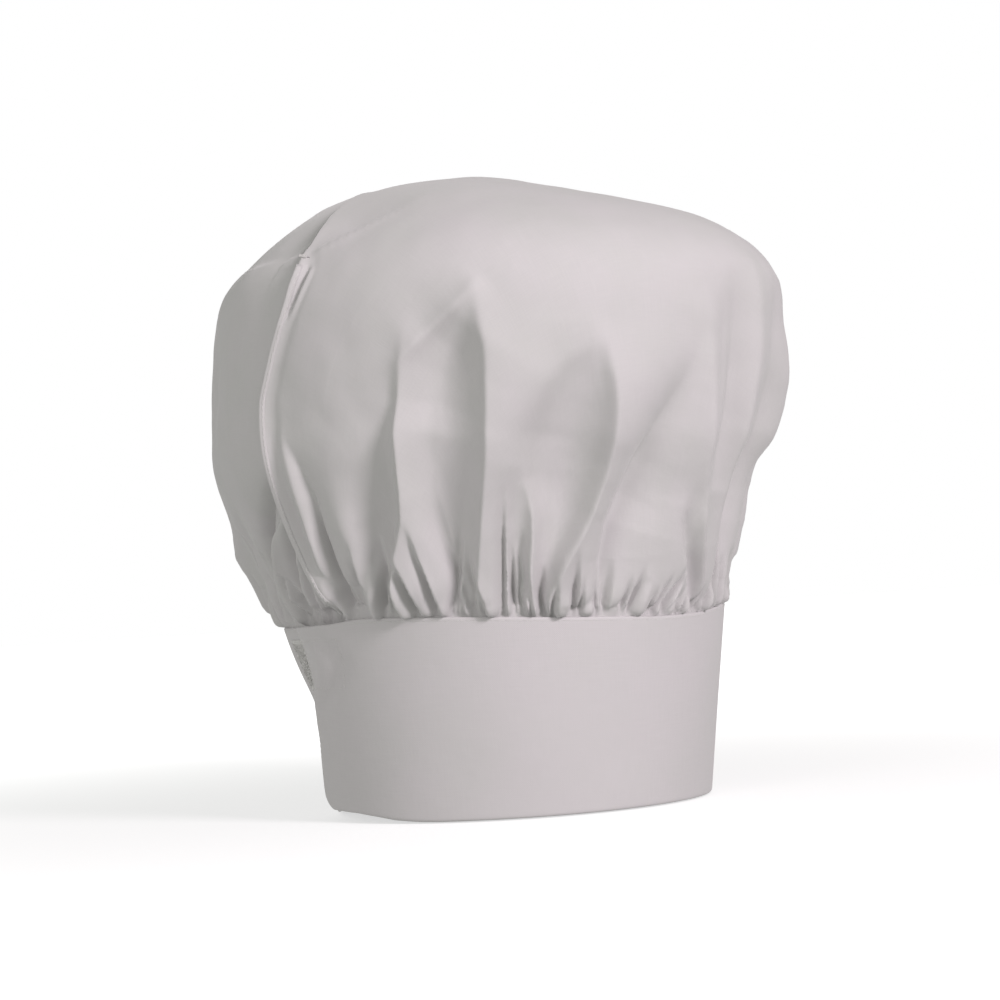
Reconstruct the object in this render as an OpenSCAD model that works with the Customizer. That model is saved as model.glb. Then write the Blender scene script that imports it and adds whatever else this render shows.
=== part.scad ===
// Adjustable chef toque: a full gathered crown on a stiffened band that closes
// at the back with a hook and loop patch.
// Millimetres. +Z is up, the front of the hat faces -Y, the closure is at +Y.
// The origin is the middle of the band's lower edge, on the surface it stands on.
// Directions round the hat are degrees counter-clockwise from +X, so 90 is the back.

/* [Band] */
// Height of the finished band
band_h = 89; // [76:1:100]
// Outside radius of the band at its upper edge
band_top_r = 105; // [100:0.5:108]
// Outside radius of the band at its lower edge
band_bottom_r = 93; // [88:0.5:98]
// Thickness of one layer of the cloth
cloth_t = 0.5; // [0.4:0.1:0.6]
// Thickness of the stiffener between the band's two walls
stiffener_t = 0.8; // [0.6:0.1:1]
// Depth of the crown's gathered edge inside the band
gathered_depth = 9; // [6:1:12]

/* [Closure] */
// Direction of the line where the free over end bends away from the band
hinge_deg = 104; // [103:1:106]
// Angle spanned by the free over end
over_end_deg = 24.5; // [22:0.5:27]
// How far the lower edge of the over end rises towards its tip
over_end_rise = 4.5; // [3:0.5:6]
// Radius of the rounded lower corner of the over end
corner_r = 9; // [6:1:12]
// Angle that the under end reaches back underneath the band, from the hinge line
under_reach_deg = 14; // [12:1:18]
// Angle over which the band eases inwards to run underneath the over end
ease_deg = 56; // [48:1:64]
// Thickness of the hook patch and of the loop patch
patch_t = 1.1; // [0.9:0.1:1.3]
// Width of the hook and loop tape
tape_w = 25; // [20:1:30]
// Gap left between the upper edge of the tape and the upper edge of the band
tape_drop = 6; // [4:1:8]

/* [Crown] */
// Largest radius of the crown
crown_r = 137; // [132:0.5:142]
// Height of the top of the crown above the band's lower edge
crown_top = 298; // [285:1:310]
// Height at which the crown is widest
crown_wide_z = 204; // [194:1:214]
// Thickness of the crown's wall
crown_t = 1; // [0.8:0.1:1.2]
// Direction of the opening slit in the crown
slit_deg = 102; // [101:0.5:103]
// Width of the narrow hems along the slit, as an angle
hem_deg = 3.5; // [3:0.5:4]

/* [Sewing] */
// Thickness of a line of sewing thread
thread_d = 0.5; // [0.4:0.1:0.6]
// Width of the blank care label
label_w = 22; // [18:1:28]
// Length of the blank care label
label_h = 40; // [30:1:48]

/* [Hidden] */
$fn = 96;
white = [0.86, 0.85, 0.85];

// Wall of the band: outer cloth, room for the stiffener, inner cloth.
room = stiffener_t + 0.3;
wall_t = 2 * cloth_t + room;
gap = 0.3;
// Inset of the outer side of each layer underneath the over end.
hook_in = wall_t + 0.05;
loop_in = hook_in + patch_t + gap;
under_in = loop_in + patch_t + 0.05;
over_tip_deg = hinge_deg - over_end_deg;
under_tip_deg = hinge_deg + under_reach_deg;
hinge_gap_deg = 0.25;
// Two equal turns, one inwards and one back, bring the band from its own circle
// to the smaller circle of the under end. Both are tangent to their neighbours.
end_foot = band_bottom_r * sin(over_end_deg / 2);
rise_deg = atan(over_end_rise / (2 * end_foot));
seam_deg = 6;
ease_to = over_tip_deg - 2;
ease_from = ease_to - ease_deg;
ease_mid = ease_to - ease_deg / 2;
ease_k = 1 - cos(ease_deg);
ease_shift = under_in * (4 + sqrt(16 - 8 * ease_k)) / (4 * ease_k);
lap = 0.02;
lap_deg = 0.1;
tape_top = band_h - tape_drop;
tape_low = tape_top - tape_w;
crown_base_z = band_h + 0.5;
crown_base_r = band_top_r + 2;
// Where the crown's lower part, which crumples, meets the upper part.
split = 0.6;
slit_end = 1.45;

// Outside radius of the band at a height.
function wall_r(z) = band_bottom_r + (band_top_r - band_bottom_r) * z / band_h;
function cubic(a, b, c, d, t) = a * pow(1 - t, 3) + 3 * b * t * pow(1 - t, 2)
    + 3 * c * t * t * (1 - t) + d * pow(t, 3);
function cubic_slope(a, b, c, d, t) = 3 * (b - a) * pow(1 - t, 2)
    + 6 * (c - b) * t * (1 - t) + 3 * (d - c) * t * t;
// The crown's outline: s runs 0 to 1 from the band up to the widest place, and
// 1 to 2 from there to the middle of the top.
rise = crown_wide_z - crown_base_z;
cap = crown_top - crown_wide_z;
knots = [
    [[crown_base_r, crown_base_z], [crown_base_r + 11, crown_base_z + 0.24 * rise],
        [crown_r, crown_base_z + 0.6 * rise], [crown_r, crown_wide_z]],
    [[crown_r, crown_wide_z], [crown_r, crown_wide_z + 0.45 * cap],
        [0.83 * crown_r, crown_top], [0, crown_top]]
];
function seg(s) = s <= 1 ? 0 : 1;
function at(s) = [for (i = [0, 1]) cubic(knots[seg(s)][0][i], knots[seg(s)][1][i],
    knots[seg(s)][2][i], knots[seg(s)][3][i], s - seg(s))];
function slope(s) = [for (i = [0, 1]) cubic_slope(knots[seg(s)][0][i], knots[seg(s)][1][i],
    knots[seg(s)][2][i], knots[seg(s)][3][i], s - seg(s))];
// A point of the outline moved outwards by off.
function skin(s, off) = let (v = slope(s), n = norm(v), p = at(s))
    [max(0, p[0] + off * v[1] / n), p[1] - off * v[0] / n];
function run(s0, s1, n) = [for (i = [0:n]) s0 + (s1 - s0) * i / n];

// Sections of the band, drawn beside the axis. grow moves the section outwards.
module layer_section(a, b, z0, z1, grow) {
    polygon([[wall_r(z0) - b + grow, z0], [wall_r(z0) - a + grow, z0],
        [wall_r(z1) - a + grow, z1], [wall_r(z1) - b + grow, z1]]);
}

// Folded cloth: two walls joined by the fold at the lower edge.
module fold_section(inset, grow) {
    a = inset - grow;
    polygon([
        [wall_r(0) - a - wall_t, 0], [wall_r(0) - a, 0],
        [wall_r(band_h) - a, band_h], [wall_r(band_h) - a - cloth_t, band_h],
        [wall_r(cloth_t) - a - cloth_t, cloth_t],
        [wall_r(cloth_t) - a - cloth_t - room, cloth_t],
        [wall_r(band_h) - a - cloth_t - room, band_h],
        [wall_r(band_h) - a - wall_t, band_h]
    ]);
}

// Turns the section through a sector whose centre is moved by shift towards dir.
module sector(from_deg, to_deg, dir = 0, shift = 0) {
    translate([shift * cos(dir), shift * sin(dir), 0]) rotate([0, 0, from_deg])
        rotate_extrude(angle = to_deg - from_deg) children();
}

module layer(from_deg, to_deg, a, b, z0, z1) {
    sector(from_deg, to_deg) layer_section(a, b, z0, z1, 0);
}

// A layer of the band from the hinge line round the front and through both turns.
// Each turn starts a hair inside the stretch before it, so that they join.
module long_layer(from_deg, short_deg, a, b, z0, z1) {
    sector(from_deg, 360 + ease_from) layer_section(a, b, z0, z1, 0);
    sector(ease_from - lap_deg, ease_mid, ease_from, ease_shift)
        layer_section(a, b, z0, z1, -ease_shift - lap);
    sector(ease_mid - lap_deg, ease_to - short_deg, ease_to, -ease_shift)
        layer_section(a, b, z0, z1, ease_shift - under_in - 2 * lap);
}

// Cuts the lower edge of the over end: a straight rise towards the tip, moved
// upwards by i.
module end_rise(i) {
    rotate([0, 0, hinge_deg - over_end_deg / 2 - 90]) rotate([90, 0, 0])
        linear_extrude(height = 2 * (band_top_r + 10), center = true)
            polygon([[-end_foot - 8, i - tan(rise_deg) * 8],
                [60, i + tan(rise_deg) * (60 + end_foot)], [60, -10], [-end_foot - 8, -10]]);
}

// Rounds its lower corner.
module end_corner() {
    cx = end_foot - corner_r + 0.1;
    cz = corner_r / cos(rise_deg) + tan(rise_deg) * (cx + end_foot);
    rotate([0, 0, hinge_deg - over_end_deg / 2 - 90]) rotate([90, 0, 0])
        linear_extrude(height = 2 * (band_top_r + 10), center = true) difference() {
            polygon([[cx, -5], [60, -5], [60, cz], [cx, cz]]);
            translate([cx, cz]) circle(r = corner_r);
        }
}

// A sector of the crown's skin, from s0 to s1, between two offsets.
module crown_strip(from_deg, to_deg, s0, s1, lo, hi, n) {
    rotate([0, 0, from_deg]) rotate_extrude(angle = to_deg - from_deg)
        polygon(concat([for (s = run(s0, s1, n)) skin(s, hi)],
            [for (s = run(s1, s0, n)) skin(s, lo)]));
}

// A rectangle of thread lying on a conical layer whose outside is at the given inset.
module stitch_box(from_deg, to_deg, z0, z1, inset) {
    line_deg = 0.3;
    layer(from_deg, to_deg, inset - thread_d, inset - 0.02, z0, z0 + thread_d);
    layer(from_deg, to_deg, inset - thread_d, inset - 0.02, z1 - thread_d, z1);
    layer(from_deg, from_deg + line_deg, inset - thread_d, inset - 0.02,
        z0 + thread_d + 0.05, z1 - thread_d - 0.05);
    layer(to_deg - line_deg, to_deg, inset - thread_d, inset - 0.02,
        z0 + thread_d + 0.05, z1 - thread_d - 0.05);
}

module band_shell() {
    color(white) {
        sector(hinge_deg + hinge_gap_deg, 360 + ease_from) fold_section(0, 0);
        sector(ease_from - lap_deg, ease_mid, ease_from, ease_shift)
            fold_section(0, -ease_shift - lap);
        sector(ease_mid - lap_deg, ease_to - 0.1, ease_to, -ease_shift)
            fold_section(0, ease_shift - under_in - 2 * lap);
    }
}

module band_stiffener() {
    color("whitesmoke") long_layer(hinge_deg + 1, 0.6, cloth_t + 0.1,
        cloth_t + 0.1 + stiffener_t, cloth_t + 0.3, band_h - gathered_depth - 1);
}

module band_under_end() {
    color(white) {
        sector(ease_to + 0.1, under_tip_deg - 0.3) fold_section(under_in, 0);
        // The end is turned in and closed.
        layer(under_tip_deg - 0.4, under_tip_deg, under_in, under_in + wall_t, 0, band_h);
    }
}

module under_end_stiffener() {
    color("whitesmoke") layer(ease_to + 0.6, under_tip_deg - 1, under_in + cloth_t + 0.1,
        under_in + cloth_t + 0.1 + stiffener_t, cloth_t + 0.3, band_h - gathered_depth - 1);
}

module loop_patch() {
    color("white") {
        layer(ease_to, under_tip_deg - 3, loop_in, loop_in + patch_t, tape_low, tape_top);
        sector(ease_to - 10, ease_to, ease_to, -ease_shift)
            layer_section(loop_in - under_in, loop_in - under_in + patch_t,
                tape_low, tape_top, ease_shift - under_in);
    }
}

module loop_patch_stitching() {
    // Lies on the inside of the under end, behind the patch.
    color("ivory") stitch_box(ease_to + 0.5, under_tip_deg - 3.5, tape_low + 1, tape_top - 1,
        under_in + wall_t + thread_d + 0.05);
}

module band_top_stitching() {
    // Holds the crown between the two walls of the band.
    z = band_h - 2;
    color("ivory") sector(hinge_deg + 0.5, 360 + ease_from - 0.5)
        translate([wall_r(z) + thread_d / 2 + 0.02, z]) circle(d = thread_d, $fn = 24);
}

module crown_gathered_edge() {
    z0 = band_h - gathered_depth;
    z1 = band_h - 0.3;
    a = cloth_t + 0.1;
    b = cloth_t + room - 0.1;
    color(white) {
        layer(hinge_deg + 1, 360 + ease_from - 0.1, a, b, z0, z1);
        sector(ease_from, ease_mid - 0.1, ease_from, ease_shift)
            layer_section(a, b, z0, z1, -ease_shift);
        sector(ease_mid, ease_to - 0.6, ease_to, -ease_shift)
            layer_section(a, b, z0, z1, ease_shift - under_in);
        layer(ease_to + 0.6, hinge_deg, under_in + a, under_in + b, z0, z1);
    }
}

module care_label() {
    mid = 150;
    half = label_w / 2 / band_top_r * 180 / PI;
    color("white") layer(mid - half, mid + half, wall_t + 0.1, wall_t + 0.4,
        band_h - 4 - label_h, band_h - 4);
}

module band_over_end() {
    color(white) difference() {
        layer(over_tip_deg, hinge_deg - hinge_gap_deg, 0, wall_t, 0, band_h);
        end_rise(0);
        end_corner();
        // Room for the stiffener; the turned-in cloth fills the tip.
        difference() {
            layer(over_tip_deg + seam_deg, hinge_deg + 1, cloth_t, cloth_t + room,
                0, band_h - cloth_t);
            end_rise(cloth_t + 0.2);
        }
    }
}

module over_end_stiffener() {
    color("whitesmoke") difference() {
        layer(over_tip_deg + seam_deg + 0.5, hinge_deg - 1, cloth_t + 0.1,
            cloth_t + 0.1 + stiffener_t, 0, band_h - 1);
        end_rise(cloth_t + 0.4);
    }
}

module hook_patch() {
    color("white") layer(over_tip_deg + 2, hinge_deg - 2.5, hook_in, hook_in + patch_t,
        tape_low, tape_top);
}

module hook_patch_stitching() {
    color("ivory") stitch_box(over_tip_deg + 2.5, hinge_deg - 3, tape_low + 1, tape_top - 1, 0);
}

module over_end_edge_stitching() {
    // A line of thread close to the vertical edge of the over end.
    color("ivory") layer(over_tip_deg + 1, over_tip_deg + 1.3, -thread_d, -0.02,
        over_end_rise + corner_r + 2, band_h - 2);
}

module crown_lower() {
    color(white) crown_strip(slit_deg + 0.25, slit_deg + 359.75, 0, split, -crown_t, 0, 8);
}

module crown_upper() {
    outer = concat(run(split + 0.003, 1, 5), run(1.05, 2, 18));
    color(white) difference() {
        rotate_extrude() polygon(concat([for (s = outer) skin(s, 0)],
            [for (i = [len(outer) - 1:-1:0]) skin(outer[i], -crown_t)]));
        // The slit, cut through the back only.
        rotate([0, 0, slit_deg]) translate([crown_r - 40, -0.5, crown_base_z])
            cube([60, 1, at(slit_end)[1] - crown_base_z]);
    }
}

module slit_over_hem() {
    color(white) crown_strip(slit_deg - hem_deg + 1, slit_deg + 1, 0.1, slit_end, 0.25, 1, 20);
}

module slit_under_hem() {
    color(white) crown_strip(slit_deg - 1, slit_deg - 1 + hem_deg, 0.1, slit_end,
        -crown_t - 1, -crown_t - 0.25, 20);
}

module slit_over_hem_stitching() {
    color("ivory") crown_strip(slit_deg - 1.7, slit_deg - 1.45, 0.1, slit_end,
        1.03, 1 + thread_d, 20);
}

module slit_under_hem_stitching() {
    color("ivory") crown_strip(slit_deg + 1.5, slit_deg + 1.75, 0.1, slit_end,
        -crown_t - 1 - thread_d, -crown_t - 1.03, 20);
}

module slit_bartack() {
    color("ivory") crown_strip(slit_deg - 2, slit_deg + 2, slit_end + 0.01, slit_end + 0.035,
        0.02, 0.8, 1);
}

band_shell();
band_stiffener();
band_under_end();
under_end_stiffener();
loop_patch();
loop_patch_stitching();
band_top_stitching();
crown_gathered_edge();
care_label();
band_over_end();
over_end_stiffener();
hook_patch();
hook_patch_stitching();
over_end_edge_stitching();
crown_lower();
crown_upper();
slit_over_hem();
slit_under_hem();
slit_over_hem_stitching();
slit_under_hem_stitching();
slit_bartack();
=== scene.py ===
import math

import bpy
import numpy as np
from mathutils import Matrix, Vector


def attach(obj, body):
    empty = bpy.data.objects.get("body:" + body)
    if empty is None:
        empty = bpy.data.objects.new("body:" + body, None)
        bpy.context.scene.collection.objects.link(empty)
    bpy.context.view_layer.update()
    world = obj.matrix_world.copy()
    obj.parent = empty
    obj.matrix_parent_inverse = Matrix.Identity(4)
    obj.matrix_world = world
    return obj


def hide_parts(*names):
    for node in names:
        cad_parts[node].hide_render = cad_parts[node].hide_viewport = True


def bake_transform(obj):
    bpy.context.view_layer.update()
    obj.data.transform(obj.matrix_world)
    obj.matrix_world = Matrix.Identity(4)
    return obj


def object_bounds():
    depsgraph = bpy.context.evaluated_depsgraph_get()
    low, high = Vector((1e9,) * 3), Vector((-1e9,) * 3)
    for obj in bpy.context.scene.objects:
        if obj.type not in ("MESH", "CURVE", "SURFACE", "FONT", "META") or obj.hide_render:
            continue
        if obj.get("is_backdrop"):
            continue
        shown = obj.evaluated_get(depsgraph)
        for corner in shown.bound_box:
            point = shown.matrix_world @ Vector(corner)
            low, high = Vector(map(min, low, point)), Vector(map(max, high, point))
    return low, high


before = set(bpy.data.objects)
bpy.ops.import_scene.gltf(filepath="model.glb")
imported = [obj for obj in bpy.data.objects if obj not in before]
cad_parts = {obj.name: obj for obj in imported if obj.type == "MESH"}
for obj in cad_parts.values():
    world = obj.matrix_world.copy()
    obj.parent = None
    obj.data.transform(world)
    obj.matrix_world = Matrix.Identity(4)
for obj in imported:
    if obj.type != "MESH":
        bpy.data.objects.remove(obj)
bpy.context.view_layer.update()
scene = bpy.context.scene
MM = 0.001
DEG = math.pi / 180

# Sizes in millimetres and degrees, as in part.scad.
BAND_H, TOP_R, BOTTOM_R = 89.0, 105.0, 93.0
TIP, HINGE, UNDER_TIP = 79.5, 104.0, 478.0
TAPE_LOW, TAPE_TOP = 58.0, 83.0
CLOTH = 0.5
ARC = 310.0  # from the band's edge to the middle of the top, along the cloth


def smooth(t):
    t = np.clip(t, 0, 1)
    return t * t * (3 - 2 * t)


def lookup(x, table):
    t = np.array(table, float)
    return np.interp(x, t[:, 0], t[:, 1])


def blur(a, sigma, axis, edge="edge"):
    n = max(1, int(3 * sigma + 0.5))
    k = np.exp(-0.5 * (np.arange(-n, n + 1) / sigma) ** 2)
    k /= k.sum()
    pad = [(0, 0)] * a.ndim
    pad[axis] = (n, n)
    b = np.pad(a, pad, mode=edge)
    out = np.zeros_like(a)
    for i, w in enumerate(k):
        out += w * np.take(b, range(i, i + a.shape[axis]), axis=axis)
    return out


def make(name, verts, faces, uv=None, smooth_shading=True):
    """A mesh object from points in millimetres."""
    me = bpy.data.meshes.new(name)
    verts = np.asarray(verts, float) * MM
    faces = [tuple(f) for f in (faces.tolist() if hasattr(faces, "tolist") else faces)]
    me.from_pydata(verts.tolist(), [], faces)
    if uv is not None:
        layer = me.uv_layers.new(name="cloth")
        at = np.zeros(len(me.loops), np.int32)
        me.loops.foreach_get("vertex_index", at)
        layer.data.foreach_set("uv", np.asarray(uv, np.float32)[at].ravel())
    me.polygons.foreach_set("use_smooth", [smooth_shading] * len(me.polygons))
    me.update()
    ob = bpy.data.objects.new(name, me)
    scene.collection.objects.link(ob)
    return ob


def solidify(ob, thick, offset=-1.0):
    m = ob.modifiers.new("thickness", "SOLIDIFY")
    m.thickness = thick * MM
    m.offset = offset
    m.use_even_offset = False
    return ob


# ---------------------------------------------------------------- materials
def cloth_material(name, tone, shade, weave=0.0005, bump=0.3, rough=0.9, sheen=0.25, cell=0.02, crinkle=0.25):
    """Woven cloth: two sets of threads crossing, a little slub, faint crinkles and a soft change of tone."""
    m = bpy.data.materials.new(name)
    m.use_nodes = True
    nt = m.node_tree
    nt.nodes.clear()
    n, link = nt.nodes.new, nt.links.new
    out, bsdf, uv = n("ShaderNodeOutputMaterial"), n("ShaderNodeBsdfPrincipled"), n("ShaderNodeUVMap")
    uv.uv_map = "cloth"
    link(bsdf.outputs[0], out.inputs[0])

    def noise(scale, detail=3.0, stretch=None):
        t = n("ShaderNodeTexNoise")
        t.noise_dimensions = "3D"
        t.inputs["Scale"].default_value = scale
        t.inputs["Detail"].default_value = detail
        if stretch:
            mp = n("ShaderNodeMapping")
            mp.inputs["Scale"].default_value = stretch
            link(uv.outputs[0], mp.inputs[0])
            link(mp.outputs[0], t.inputs["Vector"])
        else:
            link(uv.outputs[0], t.inputs["Vector"])
        return t.outputs["Fac"]

    def math_node(op, a, b=None):
        t = n("ShaderNodeMath")
        t.operation = op
        for i, x in enumerate((a, b)):
            if x is None:
                continue
            if isinstance(x, (int, float)):
                t.inputs[i].default_value = x
            else:
                link(x, t.inputs[i])
        return t.outputs[0]

    sep = n("ShaderNodeSeparateXYZ")
    link(uv.outputs[0], sep.inputs[0])
    k = math.pi / weave
    waves = [math_node("SINE", math_node("MULTIPLY", sep.outputs[i], k)) for i in (0, 1)]
    weave_h = math_node("MULTIPLY", waves[0], waves[1])
    slub = math_node("ADD", noise(1.0, 2.0, (1 / 0.0007, 1 / 0.012, 1.0)), noise(1.0, 2.0, (1 / 0.012, 1 / 0.0007, 1.0)))
    fine = math_node("ADD", math_node("MULTIPLY", weave_h, 0.5), slub)
    b1 = n("ShaderNodeBump")
    b1.inputs["Strength"].default_value = bump
    b1.inputs["Distance"].default_value = 0.00006
    link(fine, b1.inputs["Height"])
    b2 = n("ShaderNodeBump")
    b2.inputs["Strength"].default_value = crinkle
    b2.inputs["Distance"].default_value = 0.0008
    link(noise(1 / 0.011, 4.0), b2.inputs["Height"])
    link(b2.outputs[0], b1.inputs["Normal"])
    link(b1.outputs[0], bsdf.inputs["Normal"])
    ramp = n("ShaderNodeValToRGB")
    ramp.color_ramp.elements[0].position = 0.32
    ramp.color_ramp.elements[0].color = (*shade, 1)
    ramp.color_ramp.elements[1].position = 0.68
    ramp.color_ramp.elements[1].color = (*tone, 1)
    link(noise(1 / cell, 3.0), ramp.inputs[0])
    # painted shade: the hollows between the threads are painted a little darker, and the slub varies the tone a little
    mix = n("ShaderNodeMix")
    mix.data_type = "RGBA"
    mix.blend_type = "MULTIPLY"
    mix.inputs[0].default_value = 1.0
    hollow_shade_and_slub_tone = n("ShaderNodeMapRange")
    hollow_shade_and_slub_tone.inputs["From Min"].default_value = 0.2
    hollow_shade_and_slub_tone.inputs["From Max"].default_value = 1.8
    hollow_shade_and_slub_tone.inputs["To Min"].default_value = 0.945
    hollow_shade_and_slub_tone.inputs["To Max"].default_value = 1.03
    link(fine, hollow_shade_and_slub_tone.inputs[0])
    link(ramp.outputs[0], mix.inputs[6])
    link(hollow_shade_and_slub_tone.outputs[0], mix.inputs[7])
    link(mix.outputs[2], bsdf.inputs["Base Color"])
    rr = n("ShaderNodeMapRange")
    rr.inputs["To Min"].default_value = rough - 0.06
    rr.inputs["To Max"].default_value = min(1.0, rough + 0.06)
    link(noise(1 / 0.006, 2.0), rr.inputs[0])
    link(rr.outputs[0], bsdf.inputs["Roughness"])
    bsdf.inputs["Sheen Weight"].default_value = sheen
    bsdf.inputs["Sheen Roughness"].default_value = 0.45
    bsdf.inputs["Sheen Tint"].default_value = (1, 1, 1, 1)
    bsdf.inputs["Specular IOR Level"].default_value = 0.25
    return m


def thread_material(name, tone, shade):
    """Twisted thread: fine slanting ridges along the stitches."""
    m = bpy.data.materials.new(name)
    m.use_nodes = True
    nt = m.node_tree
    nt.nodes.clear()
    n, link = nt.nodes.new, nt.links.new
    out, bsdf, tc = n("ShaderNodeOutputMaterial"), n("ShaderNodeBsdfPrincipled"), n("ShaderNodeTexCoord")
    link(bsdf.outputs[0], out.inputs[0])
    w = n("ShaderNodeTexWave")
    w.wave_type, w.bands_direction = "BANDS", "DIAGONAL"
    w.inputs["Scale"].default_value = 900
    w.inputs["Distortion"].default_value = 1.5
    link(tc.outputs["Object"], w.inputs["Vector"])
    ramp = n("ShaderNodeValToRGB")
    ramp.color_ramp.elements[0].color = (*shade, 1)
    ramp.color_ramp.elements[1].color = (*tone, 1)
    link(w.outputs["Fac"], ramp.inputs[0])
    link(ramp.outputs[0], bsdf.inputs["Base Color"])
    b = n("ShaderNodeBump")
    b.inputs["Strength"].default_value = 0.4
    b.inputs["Distance"].default_value = 0.00008
    link(w.outputs["Fac"], b.inputs["Height"])
    link(b.outputs[0], bsdf.inputs["Normal"])
    bsdf.inputs["Roughness"].default_value = 0.6
    bsdf.inputs["Sheen Weight"].default_value = 0.3
    bsdf.inputs["Specular IOR Level"].default_value = 0.35
    return m


BAND_CLOTH = cloth_material("band_cloth", (0.60, 0.575, 0.59), (0.585, 0.57, 0.575), weave=0.00045, cell=0.05, crinkle=0.12)
CROWN_CLOTH = cloth_material("crown_cloth", (0.575, 0.557, 0.566), (0.549, 0.543, 0.539), weave=0.00045, cell=0.045, crinkle=0.16)
INTERFACING = cloth_material("interfacing", (0.66, 0.65, 0.63), (0.58, 0.57, 0.55), weave=0.0012, bump=0.6, sheen=0.05, cell=0.004, crinkle=0.5)
TAPE = cloth_material("woven_tape", (0.70, 0.69, 0.68), (0.62, 0.61, 0.60), weave=0.0006, bump=0.8, rough=0.8, cell=0.006, crinkle=0.2)
LABEL = cloth_material("label_tape", (0.78, 0.77, 0.75), (0.74, 0.73, 0.71), weave=0.0003, bump=0.25, rough=0.55, sheen=0.1, cell=0.012, crinkle=0.1)
THREAD = thread_material("thread", (0.66, 0.65, 0.64), (0.56, 0.55, 0.54))
NYLON = thread_material("loop_fibre", (0.76, 0.75, 0.74), (0.66, 0.65, 0.64))
HOOK = thread_material("hook_fibre", (0.70, 0.70, 0.69), (0.60, 0.60, 0.59))

# ---------------------------------------------------------------- the band's shape
# How far the band lies inside its cone. Rows are angles, columns heights.
_far_t = np.array([-10, 0, 20, 40, 60, 80, 100, 118], float)
_far_z = np.array([0, 50, 70, 89], float)
_far = np.array([[0, 0, 0, 0], [0, 0, 0, 0], [0, 0, 0, 0], [4, 4.5, 1.0, -0.6], [9, 9.4, 2.6, -1.2],
                 [9.5, 11.2, 8.6, 4.4], [6.5, 6.8, 6.5, 6.0], [6.2, 6.2, 6.2, 6.0]], float)
_tt, _zz = np.arange(TIP, UNDER_TIP + 0.01, 0.5), np.arange(-2.0, 96.0, 1.0)
_far_grid = np.zeros((len(_tt), len(_zz)))
for _i, _t in enumerate(_tt):
    if _t - 360 > -10:
        row = np.array([np.interp(_t - 360, _far_t, _far[:, c]) for c in range(4)])
        _far_grid[_i] = np.interp(_zz, _far_z, row)
_far_grid = blur(blur(_far_grid, 9.0, 0), 6.0, 1)
_crease = np.interp(_zz, [14, 28, 38, 45, 51, 56, 62, 68, 73, 78, 82, 86, 90], [TIP + 6, TIP + 7, TIP + 7, TIP + 6.5, 88.4, 92.0, 95.6, 98.6, 99.8, 97.6, 94.2, 91.0, 89.0])
_pull = np.interp(_zz, [14, 28, 36, 44, 50, 58, 66, 74, 82, 89, 94], [0, 1.6, 3.0, 3.8, 4.6, 4.9, 4.6, 3.9, 2.6, 1.6, 1.4])
_valley = np.interp(_zz, [46, 54, 62, 72, 82, 89], [0, 1.6, 2.6, 2.6, 1.8, 1.0])
_over_grid = np.zeros_like(_far_grid)
for _i, _t in enumerate(_tt):
    if _t < 110:
        # the end is held down by the tape, so it dips at the crease and swells before the tip
        _d = _crease - _t
        _span = np.maximum(_crease - TIP, 0.5)
        _over_grid[_i] = (_pull * np.clip(_d / _span, 0, 1) ** 2.2 + _valley * np.exp(-(np.where(_d < 0, _d / 4.0, _d / 2.2)) ** 2)
                          - 0.5 * _valley * np.exp(-((_d - 7.0) / 3.2) ** 2))
_over_grid = blur(blur(_over_grid, 1.4, 0), 1.3, 1)
_inset_grid = _far_grid + _over_grid
_wave = np.random.default_rng(3)
_wave_k = [(_wave.integers(2, 11), _wave.uniform(-0.06, 0.06), _wave.uniform(0, 6.28), _wave.uniform(0.4, 1)) for _ in range(14)]


def bilinear(grid, t, z):
    a = np.clip((t - _tt[0]) / 0.5, 0, len(_tt) - 1.001)
    b = np.clip((z - _zz[0]) / 1.0, 0, len(_zz) - 1.001)
    i, j = a.astype(int), b.astype(int)
    u, v = a - i, b - j
    return (grid[i, j] * (1 - u) * (1 - v) + grid[i + 1, j] * u * (1 - v)
            + grid[i, j + 1] * (1 - u) * v + grid[i + 1, j + 1] * u * v)


def inset(t, z):
    """How far the band's outer surface lies inside the cone, at an angle (79.5 to 478) and a height."""
    t, z = np.broadcast_arrays(np.asarray(t, float), np.asarray(z, float))
    w = sum(a * np.sin(k * t * DEG + kz * z + p) for k, kz, p, a in _wave_k) * 0.085
    return bilinear(_inset_grid, t, z) + w * smooth((t - 108) / 20) * smooth((430 - t) / 20) * smooth(z / 30)


def top_z(t):
    """How far the band's upper edge stands above 89."""
    return lookup(t, [(79, 0.4), (88, 0.6), (98, 1.0), (110, 2.9), (119, 2.6), (134, 1.5), (148, 0), (163, -1.8),
                      (178, -3.1), (190, -4.3), (207, -3.8), (226, -0.7), (240, 0), (430, 0), (478, 0.4)])


def low_z(t):
    """How far its lower edge is raised. The over end's corner is rounded."""
    rise = lookup(t, [(TIP, 4.8), (88, 4.5), (98, 3.8), (106, 2.4), (112, 1.0), (120, 0.15), (126, 0), (416, 0), (431, 2.8), (440, 5.2), (446, 6.4), (478, 6.4)])
    d = np.clip((t - TIP) * DEG * BOTTOM_R, 0, 9)
    e = np.clip((UNDER_TIP - t) * DEG * BOTTOM_R, 0, 3)
    return rise + 9 - np.sqrt(np.maximum(0, 81 - (9 - d) ** 2)) + 3 - np.sqrt(np.maximum(0, 9 - (3 - e) ** 2))


def band_at(t, z, o):
    """A point of the band: angle, nominal height 0 to 89, distance in from its outer surface."""
    t, z, o = np.broadcast_arrays(np.asarray(t, float), np.asarray(z, float), np.asarray(o, float))
    lo, hi = low_z(t), BAND_H + top_z(t)
    zz = lo + z * (hi - lo) / BAND_H
    r = BOTTOM_R + (TOP_R - BOTTOM_R) * zz / BAND_H - inset(t, zz) - o
    return np.stack([r * np.cos(t * DEG), r * np.sin(t * DEG), zz], -1)


def band_blend(ob):
    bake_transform(ob)


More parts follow.
